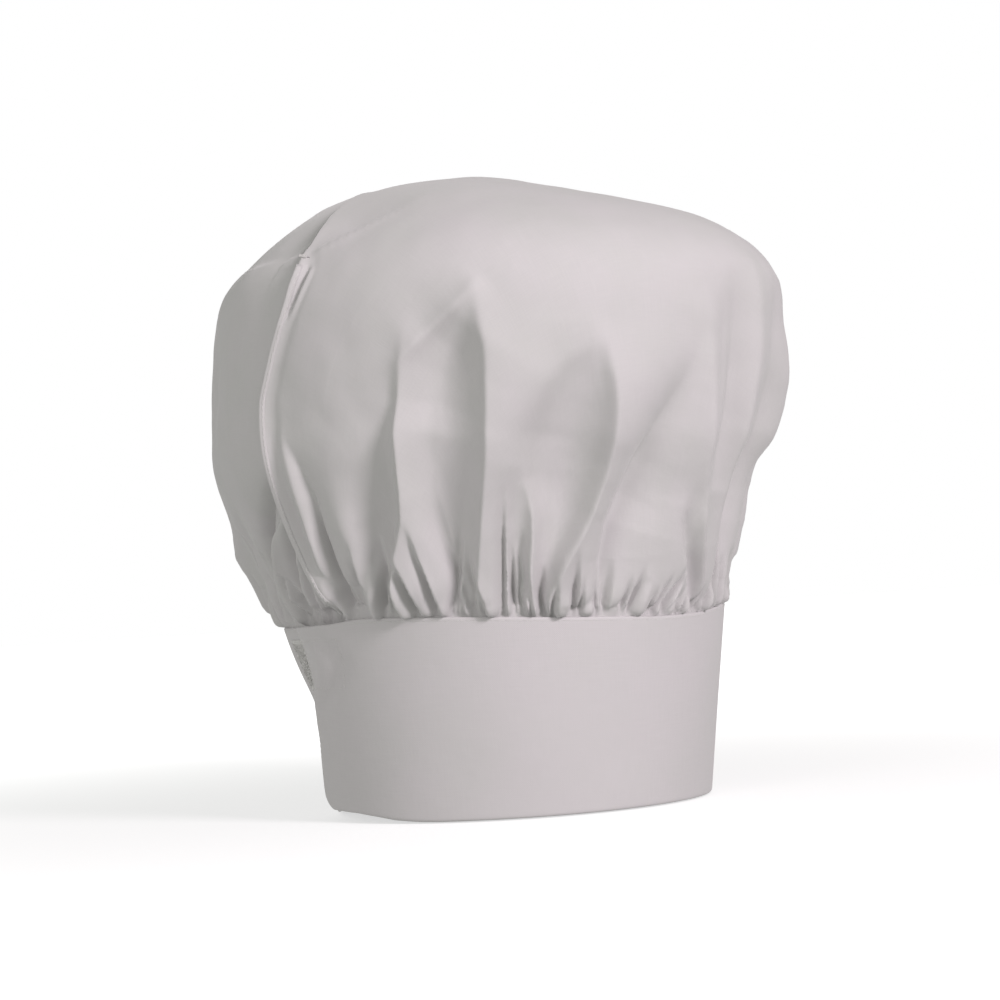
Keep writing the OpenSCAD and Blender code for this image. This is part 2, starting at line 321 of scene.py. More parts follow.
# outer wall, the fold at the lower edge, inner wall, and both seam edges turned in at the top
outer_z = np.r_[np.arange(86.2, 3.0, -2.3), 2.6, 1.5]
profile = [(0.80, 80.5), (0.80, 83.0), (0.80, 86.0), (0.80, 87.8), (0.74, 88.45), (0.52, 88.75), (0.31, 88.5), (0.25, 87.9)]
profile += [(0.25, z) for z in outer_z]
n_out = len(profile)
profile += [(0.33, 0.75), (0.60, 0.33), (1.05, 0.25), (1.50, 0.33), (1.77, 0.75)]
profile += [(1.85 + 0.65 * float(smooth((z - 72) / 10)), z) for z in outer_z[::-1]]
profile += [(2.50, 87.9), (2.44, 88.5), (2.23, 88.75), (2.01, 88.45), (1.95, 87.8), (1.95, 86.0), (1.95, 83.0), (1.95, 80.5)]
profile = np.array(profile)
turns = np.r_[TIP, 79.62, 79.8, np.arange(80.1, 86, 0.3), np.arange(86, 106, 0.5), np.arange(106, 126, 0.8),
              np.arange(126, 380, 1.25), np.arange(380, 476, 1.0), 476.6, 477.2, 477.6, 477.85, UNDER_TIP]
T, O = np.meshgrid(turns, profile[:, 0], indexing="ij")
Z = np.broadcast_to(profile[:, 1], T.shape)
pts = band_at(T, Z, O)
# the walls close in to a soft rounded end at both tips
for at, sgn in ((TIP, 1), (UNDER_TIP, -1)):
    d = (T - at) * sgn * DEG * 100
    near = np.clip(1 - d / 1.0, 0, 1) ** 2
    mid = band_at(T, Z, 1.15 + (O - 1.15) * (1 - 0.8 * near))
    pts = np.where((d < 1.2)[..., None], mid, pts)
nt_, np_ = T.shape
run = np.r_[0, np.cumsum(np.hypot(*np.diff(profile, axis=0).T))]
uv = np.stack([T * DEG * 99 * MM, np.broadcast_to(run, T.shape) * MM], -1)
idx = np.arange(nt_ * np_).reshape(nt_, np_)
faces = np.stack([idx[:-1, :-1], idx[:-1, 1:], idx[1:, 1:], idx[1:, :-1]], -1).reshape(-1, 4)
caps = []
for e, flip in ((0, False), (nt_ - 1, True)):
    col = idx[e]
    a, b = 0, np_ - 1
    while b - a > 1:
        q = [col[a], col[a + 1], col[b - 1], col[b]] if b - a > 2 else [col[a], col[a + 1], col[b]]
        caps.append([int(x) for x in (q if flip else q[::-1])])
        a, b = a + 1, b - 1
band = make("band_cloth_strip", pts.reshape(-1, 3), faces.tolist() + caps, uv.reshape(-1, 2))
band.data.materials.append(BAND_CLOTH)
solidify(band, CLOTH, 0.0)
band_blend(band)
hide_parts("band_shell", "band_under_end", "band_over_end")

# the stiffener between the walls
zs = np.r_[1.2, np.arange(4, 78, 4), 78.5]
ts = np.r_[np.arange(TIP + 5.5, 126, 1.5), np.arange(126, 476.5, 2.5), 476.8]
T, Z = np.meshgrid(ts, zs, indexing="ij")
idx = np.arange(T.size).reshape(T.shape)
faces = np.stack([idx[:-1, :-1], idx[:-1, 1:], idx[1:, 1:], idx[1:, :-1]], -1).reshape(-1, 4)
stiff = make("band_interfacing", band_at(T, Z, 0.95).reshape(-1, 3)[:, :], faces[:, ::-1],
             np.stack([T * DEG * 99 * MM, Z * MM], -1).reshape(-1, 2))
stiff.data.materials.append(INTERFACING)
solidify(stiff, 0.6, 0.0)
band_blend(stiff)
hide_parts("band_stiffener", "under_end_stiffener", "over_end_stiffener")

# ---------------------------------------------------------------- the crown's shape
LEFT = [(106.5, 89.5), (109.5, 94), (113.6, 102), (116.2, 110), (118.8, 117.7), (121.4, 125.4), (124.4, 133), (127.4, 141),
        (130, 149), (132.4, 156.6), (133.9, 164.4), (134.4, 172), (134.2, 180), (133.9, 187), (133.3, 199), (132.4, 206.4),
        (130.6, 221.7), (127.8, 237), (124.8, 244.4), (119.2, 251.8), (111.8, 259), (103.8, 266.2), (95.2, 273.2),
        (86.6, 279.6), (76.3, 285.6), (62, 290.2), (44, 293.8), (18, 296.4), (0, 296.8)]
RIGHT = [(105.5, 89.5), (106.8, 95.8), (109.6, 103.3), (112.0, 110.7), (114.2, 118), (116.2, 125.6), (117.6, 133),
         (119.4, 141), (123.2, 148), (128.2, 155.6), (133.2, 163), (135.1, 170.5), (138.2, 182), (140, 189.4), (141.6, 204.6),
         (142.1, 220), (143, 231), (141.9, 239), (137.3, 247), (129.8, 255.3), (119.4, 262.9), (110, 267), (98, 271.4),
         (89.4, 274.0), (79.2, 277.4), (60.4, 282.8), (38.8, 289.2), (15, 295.0), (0, 296.8)]
S401 = np.linspace(0, 1, 401)


def outline(points, soft=10):
    p = np.array(points, float)
    t = np.r_[0, np.cumsum(np.hypot(*np.diff(p, axis=0).T))]
    out = np.stack([np.interp(S401, t / t[-1], p[:, i]) for i in (0, 1)], -1)
    for _ in range(soft):
        out[1:-1] = (out[:-2] + 2 * out[1:-1] + out[2:]) / 4
    return out


PL, PR = outline(LEFT), outline(RIGHT)
SOFT_L, SOFT_R = outline(LEFT, 200), outline(RIGHT, 200)  # the same without their local bulges


def base(t, s):
    w = 0.5 + 0.5 * np.cos((t - 58) * DEG)
    a, b = (np.exp(-(((t - c + 180) % 360 - 180) / 24.0) ** 2) for c in (58, 238))
    r, z = (w * (a * np.interp(s, S401, PL[:, i]) + (1 - a) * np.interp(s, S401, SOFT_L[:, i]))
            + (1 - w) * (b * np.interp(s, S401, PR[:, i]) + (1 - b) * np.interp(s, S401, SOFT_R[:, i])) for i in (0, 1))
    return r, z


N = 1023  # one less than the columns of the closed rings above the slit
SLIT = 0.556
rows = [0.0]
while rows[-1] < ARC:
    x = rows[-1]
    rows.append(x + (0.9 if x < 24 else 1.4 if x < 60 else 2.0 if x < 180 else 2.8))
rows = np.array(rows[:-1]) / ARC
rows = rows[rows < 0.992]
HEM = [(104.6, 0), (104.5, .011), (104.4, .04), (102.6, .066), (101.1, .09), (100.1, .146), (99.7, .209), (99.6, .292), (99.9, .35),
       (103.1, .42), (107.2, .495), (108.3, .53), (107.9, .551), (106.4, .575), (105.0, .64), (99.8, .726), (98.6, .80), (98, 1)]
fine = np.linspace(0, 1, 1001)
hem_fine = blur(np.interp(fine, [p[1] for p in HEM], [p[0] for p in HEM]), 7.0, 0)
hem_at = lambda s: np.interp(s, fine, hem_fine)
lap_fine = blur(np.interp(fine, [0, .3, .5, .58, .66, .74, 1], [9.5, 9, 7.5, 6.5, 3.5, -360 / (N + 1), -360 / (N + 1)]), 8.0, 0)
lap_at = lambda s: np.interp(s, fine, lap_fine)
Sg, J = np.meshgrid(rows, np.arange(N + 1), indexing="ij")
U = hem_at(Sg) + (360 + lap_at(Sg)) * J / N
NR, NC = U.shape
Rb, Zb = base(U, Sg)
ARCS = Sg * ARC
Rmean = base(np.full_like(rows, 148.0), rows)[0]

FOLD = 1.15
D = np.zeros_like(U)  # outwards, mm
X = np.zeros_like(U)  # sideways, mm, towards a larger angle


def fold(points, wl, wr, e=0.6, shift=0.0):
    """Adds a ridge (or with negative heights a valley) along points (angle, s, height). wl and wr are its half widths towards
    smaller and larger angles, each one number or (first, last)."""
    p = np.array(points, float)
    n = len(p)
    wl = np.linspace(*wl, n) if isinstance(wl, tuple) else np.full(n, float(wl))
    wr = np.linspace(*wr, n) if isinstance(wr, tuple) else np.full(n, float(wr))
    reach = 4.2 * max(wl.max(), wr.max()) + 2
    s_lo, s_hi = p[:, 1].min() - reach / ARC, p[:, 1].max() + reach / ARC
    r0, r1 = np.searchsorted(rows, s_lo), np.searchsorted(rows, s_hi)
    if r1 <= r0:
        return
    kx = np.maximum(20.0, np.interp(p[:, 1].mean(), rows, Rmean)) * DEG
    t_lo, t_hi = p[:, 0].min() - reach / kx, p[:, 0].max() + reach / kx
    for off in (-360, 0, 360):
        sub = U[r0:r1]
        cols = np.where(((sub > t_lo + off) & (sub < t_hi + off)).any(0))[0]
        if len(cols) == 0:
            continue
        # a fold that crosses the slit stays on its own side of it, except above the slit
        c0, c1 = cols[0], cols[-1] + 1
        u, sg = U[r0:r1, c0:c1] - off, Sg[r0:r1, c0:c1]
        best = np.full(u.shape, 1e9)
        amp, ww = np.zeros_like(u), np.ones_like(u)
        for i in range(n - 1):
            kx = np.maximum(20.0, np.interp((p[i, 1] + p[i + 1, 1]) / 2, rows, Rmean)) * DEG
            ax, ay = (u - p[i, 0]) * kx, (sg - p[i, 1]) * ARC
            bx, by = (p[i + 1, 0] - p[i, 0]) * kx, (p[i + 1, 1] - p[i, 1]) * ARC
            l2 = max(bx * bx + by * by, 1e-9)
            q = np.clip((ax * bx + ay * by) / l2, 0, 1)
            dx, dy = ax - q * bx, ay - q * by
            d = np.hypot(dx, dy)
            # which side: a horizontal step to a larger angle counts as right
            cross = (bx * ay - by * ax) * (-1 if by > 0 else 1) * -1 if abs(by) > 1e-6 else ax
            right = smooth(0.5 + 0.5 * np.clip((dx if abs(by) > abs(bx) * 0.4 else cross / math.sqrt(l2)) / 1.5, -1, 1))
            w_here = (wl[i] * (1 - q) + wl[i + 1] * q) * (1 - right) + (wr[i] * (1 - q) + wr[i + 1] * q) * right
            a_here = p[i, 2] * (1 - q) + p[i + 1, 2] * q
            m = d < best
            best = np.where(m, d, best)
            amp, ww = np.where(m, a_here, amp), np.where(m, w_here, ww)
        k = np.exp(-(np.sqrt((best / ww) ** 2 + e * e) - e))
        k = np.where(best < reach, k, 0)
        if off != 0 or p[:, 0].max() > 430 or p[:, 0].min() < 118:
            # keep the two laps of the slit apart below its end
            here = (u + off > 300) == (p[:, 0].mean() + off > 300) if off == 0 else False
            k = np.where(sg > SLIT + 0.03, k, np.where(here, k, 0) if off == 0 else 0)
        D[r0:r1, c0:c1] += amp * k
        if shift:
            X[r0:r1, c0:c1] += shift * (amp / max(1e-6, np.abs(p[:, 2]).max())) * k


def pocket(crest, wide, up, down, right, left=10.0, hollow=2.3, shift=0.0, far=False):
    """A fold with one steep wall. crest is its upper edge (angle, s) from the top down, and the wall falls towards smaller angles
    over a width, to a valley. up and down are the heights of the crest and the valley, right and left how far they fade out."""
    c = np.array(crest, float)[::-1]
    n = len(c)
    per = [np.interp(np.linspace(0, 1, n), np.linspace(0, 1, len(v)), v)[::-1] if hasattr(v, "__len__") else np.full(n, float(v))
           for v in (wide, up, down, right, left)]
    r0, r1 = np.searchsorted(rows, c[0, 1] - 0.004), np.searchsorted(rows, c[-1, 1] + 0.004)
    s = rows[r0:r1]
    ft = blur(np.interp(np.linspace(-0.1, 1, 1101), c[:, 1], c[:, 0]), 9.0, 0)
    tc = np.interp(s, np.linspace(-0.1, 1, 1101), ft)
    w, hu, hd, rr, ll = (blur(np.interp(s, c[:, 1], v), 1.6, 0)[:, None] for v in per)
    u = U[r0:r1]
    u = u if far else np.where(u > 360 + 95, u - 1000, u)
    x = (u - tc[:, None]) * DEG * np.maximum(Rb[r0:r1], 30)
    w = np.maximum(w, 0.6)
    q = np.clip(-x / w, 0, 1)
    wall = -hd + (hu + hd) * (1 - q) ** hollow
    f = np.where(x > 0, hu * np.exp(-np.maximum(x, 0) / rr), np.where(x > -w, wall, -hd * np.exp(-(np.minimum(x + w, 0) / ll) ** 2)))
    if far:  # on the far panel, up to the place where it goes under the near one
        f = f * smooth((hem_at(s)[:, None] + 361.0 - u) / 2.5)
    D[r0:r1] += f
    if shift:
        X[r0:r1] -= shift * np.exp(-(x / 5.0) ** 2) * np.clip(hu / 3.0, 0, 1)


# folds that run far up the crown, on the side with the closure. A pocket opens below each point where the cloth is held up.
pocket([(132.4, .43), (132.0, .385), (131.2, .335), (129.9, .286), (129.7, .233), (129.5, .187), (128.8, .15), (127.2, .121), (125.0, .084), (123.2, .036), (122.6, .0)],
       [12, 11, 10, 10, 11, 11, 10.5, 8, 5.5, 3.4, 2.4], [0, 1.6, 3.4, 4.6, 5.2, 5.4, 5.0, 4.6, 3.8, 2.6, 1.4], [0, .6, 1.6, 3.0, 5.2, 7, 7.6, 7, 6, 5, 3.5],
       [22, 20, 18, 15, 13, 13, 13, 13, 11, 8, 6], [10, 10, 12, 14, 18, 16, 14, 9, 6, 4, 3], 2.6, 1.4)
pocket([(145.8, .505), (146.4, .462), (147.2, .43), (147.9, .386), (147.7, .34), (147.5, .303), (147.0, .244), (146.2, .2), (144.9, .131), (144.0, .088), (143.1, .043), (142.6, .0)],
       [15, 16, 18, 21, 24, 26, 26, 24, 18, 13, 7, 3], [0, 1.0, 2.6, 4.0, 4.6, 4.8, 4.8, 4.6, 4.2, 3.4, 2.4, 1.2], [0, 1.2, 3, 5, 7, 8, 9, 9, 9, 8, 6, 3.5],
       [14, 15, 17, 20, 22, 22, 20, 16, 12, 9, 7, 5], [12, 12, 12, 13, 14, 14, 12, 9, 6, 4, 3, 2.4], 2.3, 1.4)
pocket([(153.2, .215), (153.8, .19), (155.0, .165), (155.5, .14), (155.3, .106), (154.8, .069), (154.2, .031), (153.8, .0)],
       [6, 7, 8, 9, 8.5, 7, 5, 3], [0, .5, 1.6, 2.6, 3.0, 3.0, 2.2, 1.2], [0, 1.4, 3.4, 5.4, 6.6, 7, 6, 4], [8, 8, 9, 10, 9, 8, 6, 5], [5, 5, 5, 6, 6, 5, 4, 3], 2.3, .7)
pocket([(168.6, .415), (170.0, .378), (171.0, .34), (171.3, .293), (171.0, .251), (170.3, .206), (169.2, .177), (167.8, .144), (165.3, .11), (162.4, .079), (160.3, .047), (159.2, .02), (158.9, .0)],
       [16, 18, 21, 24, 26, 24, 21, 17, 13, 9, 6, 4, 3], [0, 1.6, 3.6, 4.8, 5.2, 5.4, 5.2, 5.0, 4.6, 4, 3, 1.8, 1], [0, 3.0, 6.5, 10, 12, 13, 12.5, 11.5, 10, 8.5, 7, 5, 3.5],
       [14, 17, 20, 23, 22, 19, 17, 14, 11, 9, 8, 6, 5], [13, 13, 14, 16, 16, 14, 12, 10, 8, 6, 5, 4, 3], 2.3, 1.6)
pocket([(196.8, .18), (197.4, .15), (197.6, .125), (199.6, .088), (202.3, .042), (204.0, .0)], [5, 6, 7, 7, 5, 2.5], [0, 1.0, 2.0, 2.4, 2, 1], [0, 1.5, 3.4, 5, 5, 3.5], 9, 4, 2.2, .5)
fold([(148.0, .490, 0), (146.0, .476, 2.6), (142.4, .452, 4.6), (139.0, .432, 5.0), (134.8, .406, 4.4), (132.0, .384, 1.8)], 6, 5, 0.25)
fold([(146.6, .415, 0), (143.0, .385, -4.2), (139.5, .355, -4.6), (136.0, .32, -3.4), (134.5, .28, 0)], 11, 11, 0.7)
fold([(131.9, .245, 0), (133.1, .167, -2.0), (134.9, .116, -3.6), (137.2, .058, -4.4), (137.8, .02, -3.6)], (8, 3.5), (5, 2.6), 0.35)
fold([(133.8, .25, 0), (135.6, .17, 1.6), (137.4, .11, 2.4), (139.2, .05, 1.8)], 4, 3.4, 0.5)
fold([(110.0, .265, -.8), (115.5, .30, -1.8), (121.2, .312, -2.0), (126.1, .295, -1.6)], 8, 8, 0.8)
fold([(154.8, .27, 0), (156.2, .31, 1.8), (158.7, .345, 2.8), (162.5, .372, 3.0), (167.0, .386, 2.0), (171, .386, 0)], 8, 8, 0.5)
fold([(161, .25, 0), (160, .20, 2.4), (158.4, .15, 2.4), (157, .10, 1.6)], 8, 8, 0.9)
fold([(192.5, .42, 0), (190.0, .37, -2.4), (187.2, .325, -5.2), (182.5, .269, -8.6), (179.3, .215, -10.4), (176.3, .167, -10.4), (173.4, .128, -9), (171.9, .075, -7.0), (171.6, .02, -4)],
     (13, 2.4), (19, 5), 0.3, .8)
fold([(191.8, .47, 0), (192.8, .42, 1.4), (193.8, .332, 3.8), (194.5, .275, 4.8), (195.0, .22, 5.0), (196.6, .167, 4.4), (196.5, .131, 3.6), (196, .07, 2.0)], (10, 4), (9, 6), 0.3, -.8)
fold([(200.6, .50, 0), (201.6, .42, -3.4), (202.0, .35, -5.4), (201.4, .28, -5.6), (200.4, .22, -3.6), (200, .17, 0)], (6, 4.5), (10, 7), 0.5)
fold([(196.6, .47, 0), (197.2, .41, -1.3), (196.6, .346, -1.2), (197, .28, 0)], 3, 6, 0.6)
fold([(208.5, .53, 0), (208.4, .45, 3.0), (208.0, .36, 4.4), (206.8, .27, 4.6), (206.0, .17, 3.4), (206, .10, 1)], (7, 5), (12, 6), 0.4, -.4)
fold([(211.6, .24, 0), (211.0, .19, -3), (210.6, .13, -4.0), (211, .06, -2.4)], (4, 3), (8, 5), 0.5)
fold([(219.5, .50, 0), (219.5, .42, -3.0), (219, .32, -4.2), (217.5, .22, -3.0), (216, .12, 0)], 14, 9, 0.8)
fold([(228, .48, 0), (229, .36, 2.0), (229, .27, 1.6), (228, .2, 0)], 8, 14, 0.8)
fold([(221, .36, 0), (218.6, .25, -4), (215.5, .15, -5), (215, .04, -3)], (9, 4), (7, 4), 0.8)
# small folds by the band, some of them slanting
for line in ([(170.6, .030), (167.2, .010), (164.6, .0)], [(178.4, .020), (175.8, .006), (173.6, .0)], [(183.4, .052), (181.2, .030), (179.6, .0)],
             [(198.4, .050), (193.9, .034), (190.2, .017), (185.6, .0)], [(197.6, .046), (195.3, .022), (191.2, .0)], [(213, .047), (206.4, .013), (205, .0)],
             [(114.8, .095), (113.0, .05), (111.9, .0)], [(119.4, .115), (115.4, .049), (113.2, .0)]):
    hs = [0, -2.6, -3.2] if len(line) == 3 else [0, -2.4, -3.2, -3.2]
    fold([(a_, s_, h_) for (a_, s_), h_ in zip(line, hs)], 1.7, 2.6, 0.5)
    fold([(a_ + 2.0, s_, -0.45 * h_) for (a_, s_), h_ in zip(line, hs)], 1.6, 3.0, 0.6)
# beside the slit
fold([(104.0, .30, 0.5), (105.0, .24, 2.2), (105.6, .197, 3.2), (105.9, .119, 3.4), (105.2, .065, 2.6), (107.2, .013, 1)], 2.6, 3.2, 0.6)
fold([(106.8, .29, 0), (107.9, .22, -1.4), (108.4, .17, -2.0), (108.8, .129, -2.4), (109.1, .066, -2.8), (110.1, .013, -2)], (3.0, 2.2), (9, 4), 0.8)
fold([(113.5, .22, 0), (114.5, .15, 2.5), (115, .08, 2), (115.2, .02, 1)], 6, 7, 0.8)
fold([(112.2, .10, 0), (111.9, .05, -2.6), (111.8, .008, -2)], 2.4, 2.4, 0.7)
fold([(118.6, .16, 0), (119, .09, -3.4), (119.3, .012, -2.4)], (4, 2.2), (4, 2.2), 0.7)
# under the slit's edge, on the other panel
fold([(461.5, .235, -2), (457, .205, -5.5), (450, .168, -7), (443.4, .132, -7), (439.4, .085, -6.5), (438.6, .04, -5), (440.1, .0, -3)], (6, 3.4), (2.6, 1.8), 0.3)
fold([(461, .195, -1.5), (455.6, .141, -5), (452.4, .10, -5.5), (450.4, .055, -5), (449.8, .0, -3.5)], 3.4, 1.8, 0.3)
fold([(461.5, .15, -1.5), (458, .105, -4.4), (456.6, .05, -4.6), (457.2, .0, -3)], 2.8, 1.7, 0.3)
fold([(456, .190, 0), (449.6, .150, 3.0), (446.4, .10, 3.0), (446.0, .045, 2.2)], 3.2, 2.0, 0.5)
pocket([(461.5, .245), (457.2, .215), (451.0, .178), (445.2, .14), (441.2, .09), (440.2, .042), (441.2, .0)],
       [2.6, 3, 3, 2.6, 2.2, 1.8], [0, 1.4, 2.6, 3.0, 2.8, 2.2, 1.2], [0, 3.0, 4.6, 5.0, 4.6, 3.6, 2.4], 3.0, 5, 1.6, far=True)
pocket([(462.2, .205), (458.0, .165), (453.6, .115), (451.2, .06), (451.4, .0)], [2, 2.2, 2, 1.6], [0, 1.4, 2.4, 2.4, 1.4], [0, 2.6, 4.0, 4.0, 2.6], 2.2, 3.4, 1.6, far=True)
pocket([(462.6, .16), (459.8, .115), (457.8, .055), (458.2, .0)], [1.6, 2, 2, 1.6], [0, 1.2, 2.0, 1.2], [0, 2.6, 3.6, 2.4], 1.8, 2.4, 1.6, far=True)
pocket([(448.6, .135), (446.4, .095), (445.6, .05), (446.2, .0)], [1.6, 2, 2, 1.6], [0, 1.2, 1.8, 1.2], [0, 2.2, 3.2, 2.2], 2.0, 2.6, 1.6, far=True)
pocket([(436.4, .15), (434.6, .09), (435.0, .045), (436.0, .0)], [1.8, 2, 2, 1.6], [0, 1.2, 1.8, 1.2], [0, 2.4, 3.2, 2.2], 2.6, 3.4, 1.6, far=True)
for line in ([(461.0, .215), (456.0, .185), (449.0, .150), (444.6, .11), (443.0, .06), (443.6, .0)],
             [(461.4, .16), (457.4, .125), (454.6, .085), (453.4, .04), (453.6, .0)],
             [(444.6, .10), (446.6, .075), (447.2, .04), (446.8, .0)],
             [(461.6, .085), (460.4, .05), (460.6, .0)], [(436.6, .12), (435.2, .07), (436.4, .0)]):
    k_ = len(line) - 1
    fold([(a_, s_, -5.5 * min(1, 0.25 + 2.2 * i / k_)) for i, (a_, s_) in enumerate(line)], 1.5, 1.1, 0.25)
fold([(104.2, .30, 0), (106.8, .243, -2.2), (107.7, .196, -3.6), (107.5, .14, -4.4), (108.0, .092, -4.6), (108.3, .042, -4.2), (108.0, .0, -3)], 1.3, 2.4, 0.25)
fold([(436, .20, 0), (430.5, .14, -3.4), (430, .08, -4), (433.4, .015, -2)], (6, 3), (5, 3), 0.7)
fold([(424, .26, 0), (421, .16, -3), (421, .07, -4), (423, .01, -2)], (8, 4), (7, 3), 0.8)
# the gather above the slit's end and the crease that runs from it towards the top
fold([(108.4, .570, 0), (110.4, .580, 1.5), (113, .592, 2.1), (117, .611, 2.1), (124, .650, 1.7), (132, .695, 0)], 2.0, 2.0, 0.25)
fold([(109, .60, -1), (115, .635, -2.3), (124, .672, -1.5), (130, .70, 0)], 6.5, 6.5, 0.8)
fold([(105.6, .575, 1.6), (105.0, .64, 2.4), (100.6, .72, 2.2), (98.4, .765, 1.6), (97.2, .79, 0)], 1.6, 5, 0.5)
fold([(458.6, .60, -2), (457.6, .66, -2.4), (455, .74, -1.4), (453, .80, 0)], 8, 3, 0.7)
fold([(90, .68, 0), (88, .55, -2.0), (84, .40, -2.5), (80, .27, 0)], 14, 10, 1.0)
fold([(436, .50, 0), (432, .38, -2.5), (430, .28, -1)], 12, 9, 1.0)

# gathers at the seam: short creases of many lengths, closer together where the cloth is pulled in more
dice = np.random.default_rng(11)
seen = [111.8, 115.6, 119.3, 122.5, 123.9, 128.4, 133.2, 136.2, 137.6, 139.2, 142.8, 144.6, 148.9, 151.6, 153.9, 155.6, 158.9, 160.6, 165.6,
        167.2, 171.7, 173.6, 178.2, 180.0, 185.4, 187.2, 191.0, 195.8, 197.4, 203.8, 205.4, 208.4, 212.6, 216.7]
t = 220.6
gathers = [96.5, 101.0, 105.2, 108.6] + list(seen)
while t < 474:
    gathers.append(t)
    t += dice.uniform(2.2, 5.4)
gathers = np.array(gathers + [480.0])
which = np.clip(np.searchsorted(gathers, U) - 1, 0, len(gathers) - 2)
frac = np.clip((U - gathers[which]) / (gathers[which + 1] - gathers[which]), 0, 1)
wide = (gathers[which + 1] - gathers[which]) * DEG * 105
tall = dice.uniform(5.5, 11.0, len(gathers))[which] * np.clip(wide / 6.0, 0.7, 1.5)
lobe = np.abs(np.sin(math.pi * frac)) ** 0.5
lobes = (dice.uniform(0.06, 0.28, len(gathers)) + 0.38 * (gathers > 220) * (gathers < 408))[which] * np.clip(wide, 2, 9) * (lobe - 0.62) * np.exp(-(ARCS / tall) ** 1.6)
droop = lobe * np.clip(wide / 6.0, 0.4, 1.2) * dice.uniform(0.0, 1.0, len(gathers))[which] ** 1.5
for t in gathers[:-1]:
    depth = dice.uniform(4.0, 7.0)
    length = dice.choice([8, 13, 20, 32, 48], p=[.20, .24, .26, .18, .12]) * dice.uniform(0.8, 1.2)
    lean = dice.uniform(-1, 1) * 0.10 * length
    if 176 < t < 210:
        lean = dice.uniform(0.10, 0.35) * length
    if t > 440 or t < 110:
        length = min(length, 16)
        lean = -abs(lean)
    w0, w1 = dice.uniform(0.75, 1.05), dice.uniform(1.6, 2.8)
    wob = dice.uniform(-1, 1)
    more = dice.uniform(.7, 1.3), dice.uniform(.9, 1.3), dice.uniform(-0.6, 0.6), dice.uniform(0.7, 1.25), dice.uniform(1.0, 1.9)
    if 110 < t < 220:
        # on the seen side most of them are tucks: a crisp crest that overhangs a narrow slit
        pocket([(t + lean, (length + 3) / ARC), (t + lean * 0.75 + wob * 0.3, 0.7 * length / ARC), (t + lean * 0.3, 0.35 * length / ARC), (t, 0.0)],
               [1.0, more[4], more[4], 1.2], [0, 1.0 * more[3], 2.1 * more[3], 1.4 * more[3]],
               [0, 0.42 * depth, 0.90 * depth, 0.90 * depth], 2.0 + 0.05 * length, 1.5 + 0.03 * length, 1.35, 0.4)
    else:
        fold([(t + lean, length / ARC, 0), (t + lean * 0.75 + wob * 0.3, 0.7 * length / ARC, -0.6 * depth),
              (t + lean * 0.3, 0.35 * length / ARC, -depth), (t, 0.0, -depth)], (w1, w0), (w1 * more[0], w0 * more[1]), 0.18, more[2])
    if dice.random() < 0.6:  # the lobe beside it stands out
        side = dice.choice([-1, 1]) * dice.uniform(1.4, 2.2)
        fold([(t + side + lean * 0.8, 0.8 * length / ARC, 0), (t + side + lean * .3, 0.35 * length / ARC, dice.uniform(0.5, 1.4)),
              (t + side, 0.012, dice.uniform(0.4, 1.0))], 1.6, 1.6, 0.6)
# the side away from the closure: longer folds of two sizes
fold([(233, .30, 0), (231, .22, -4), (230, .13, -6), (229, .05, -4)], (7, 3), (5, 3), 0.7, .5)
fold([(237, .26, 0), (236, .18, 2.4), (235, .08, 1.4)], 4, 6, 0.6)
t = 243.0
while t < 412:
    length = dice.uniform(45, 100)
    depth = dice.uniform(7.5, 11.0)
    lean = dice.uniform(-6, 6)
    w = dice.uniform(5, 9)
    fold([(t + lean, length / ARC, 0), (t + lean * .8, .75 * length / ARC, -.8 * depth), (t + lean * .4, .4 * length / ARC, -depth),
          (t, 0.02, -.5 * depth)], (w, 3.0), (w * dice.uniform(.5, 1), 2.6), 0.8, dice.uniform(-.8, .8))
    fold([(t + lean + 3.5, .9 * length / ARC, 0), (t + lean * .6 + 3.6, .55 * length / ARC, .55 * depth), (t + 3.2, 0.05, .25 * depth)],
         3.5, w * 1.2, 0.6, -.8)
    t += dice.uniform(7.5, 12)
t = 252.0
while t < 400:
    length = dice.uniform(105, 150)
    depth = dice.uniform(12, 17)
    lean = dice.uniform(-7, 7)
    w = dice.uniform(9, 14)
    fold([(t + lean, length / ARC, 0), (t + lean * .9, .8 * length / ARC, -.7 * depth), (t + lean * .5, .5 * length / ARC, -depth),
          (t, 0.15 * length / ARC, -.6 * depth), (t, 0.01, -.2 * depth)], (w, 4.0), (w * dice.uniform(.4, .8), 3.4), 0.8, dice.uniform(.3, 1.2))
    fold([(t + lean + 5, .95 * length / ARC, 0), (t + lean * .7 + 5, .6 * length / ARC, .5 * depth), (t + 4.6, .25 * length / ARC, .4 * depth),
          (t + 4, .04, 0)], 4, w * 1.1, 0.5, -1.2)
    t += dice.uniform(20, 28)

# faint unevenness all over, the same on both laps of the slit
bx, by, bz = Rb * np.cos(U * DEG), Rb * np.sin(U * DEG), Zb
uneven = np.zeros_like(D)
for lam, a, count in ((95, 0.55, 9), (42, 0.22, 10), (19, 0.07, 12)):
    for _ in range(count):
        v = dice.normal(size=3)
        v /= np.linalg.norm(v)
        k = 2 * math.pi / (lam * dice.uniform(.8, 1.25))
        uneven += a * np.sin(k * (v[0] * bx + v[1] * by + v[2] * bz) + dice.uniform(0, 6.28))
grow = 0.3 + 0.7 * smooth(ARCS / 1.8)
D = (D * FOLD + lobes) * grow + 0.55 * uneven * smooth(Sg / 0.06) + (0.15 + 0.20 * (U > 220) * (U < 408)) * lobe * np.exp(-((ARCS - 3.2) / 3.4) ** 2)
deepest = 9.0 + 13.0 * smooth(ARCS / 50)
D = np.where(D < 0, -deepest * np.tanh(-D / deepest), D)
X *= grow
D, X = blur(blur(D, 0.6, 1), 0.5, 0), blur(X, 1.0, 1)

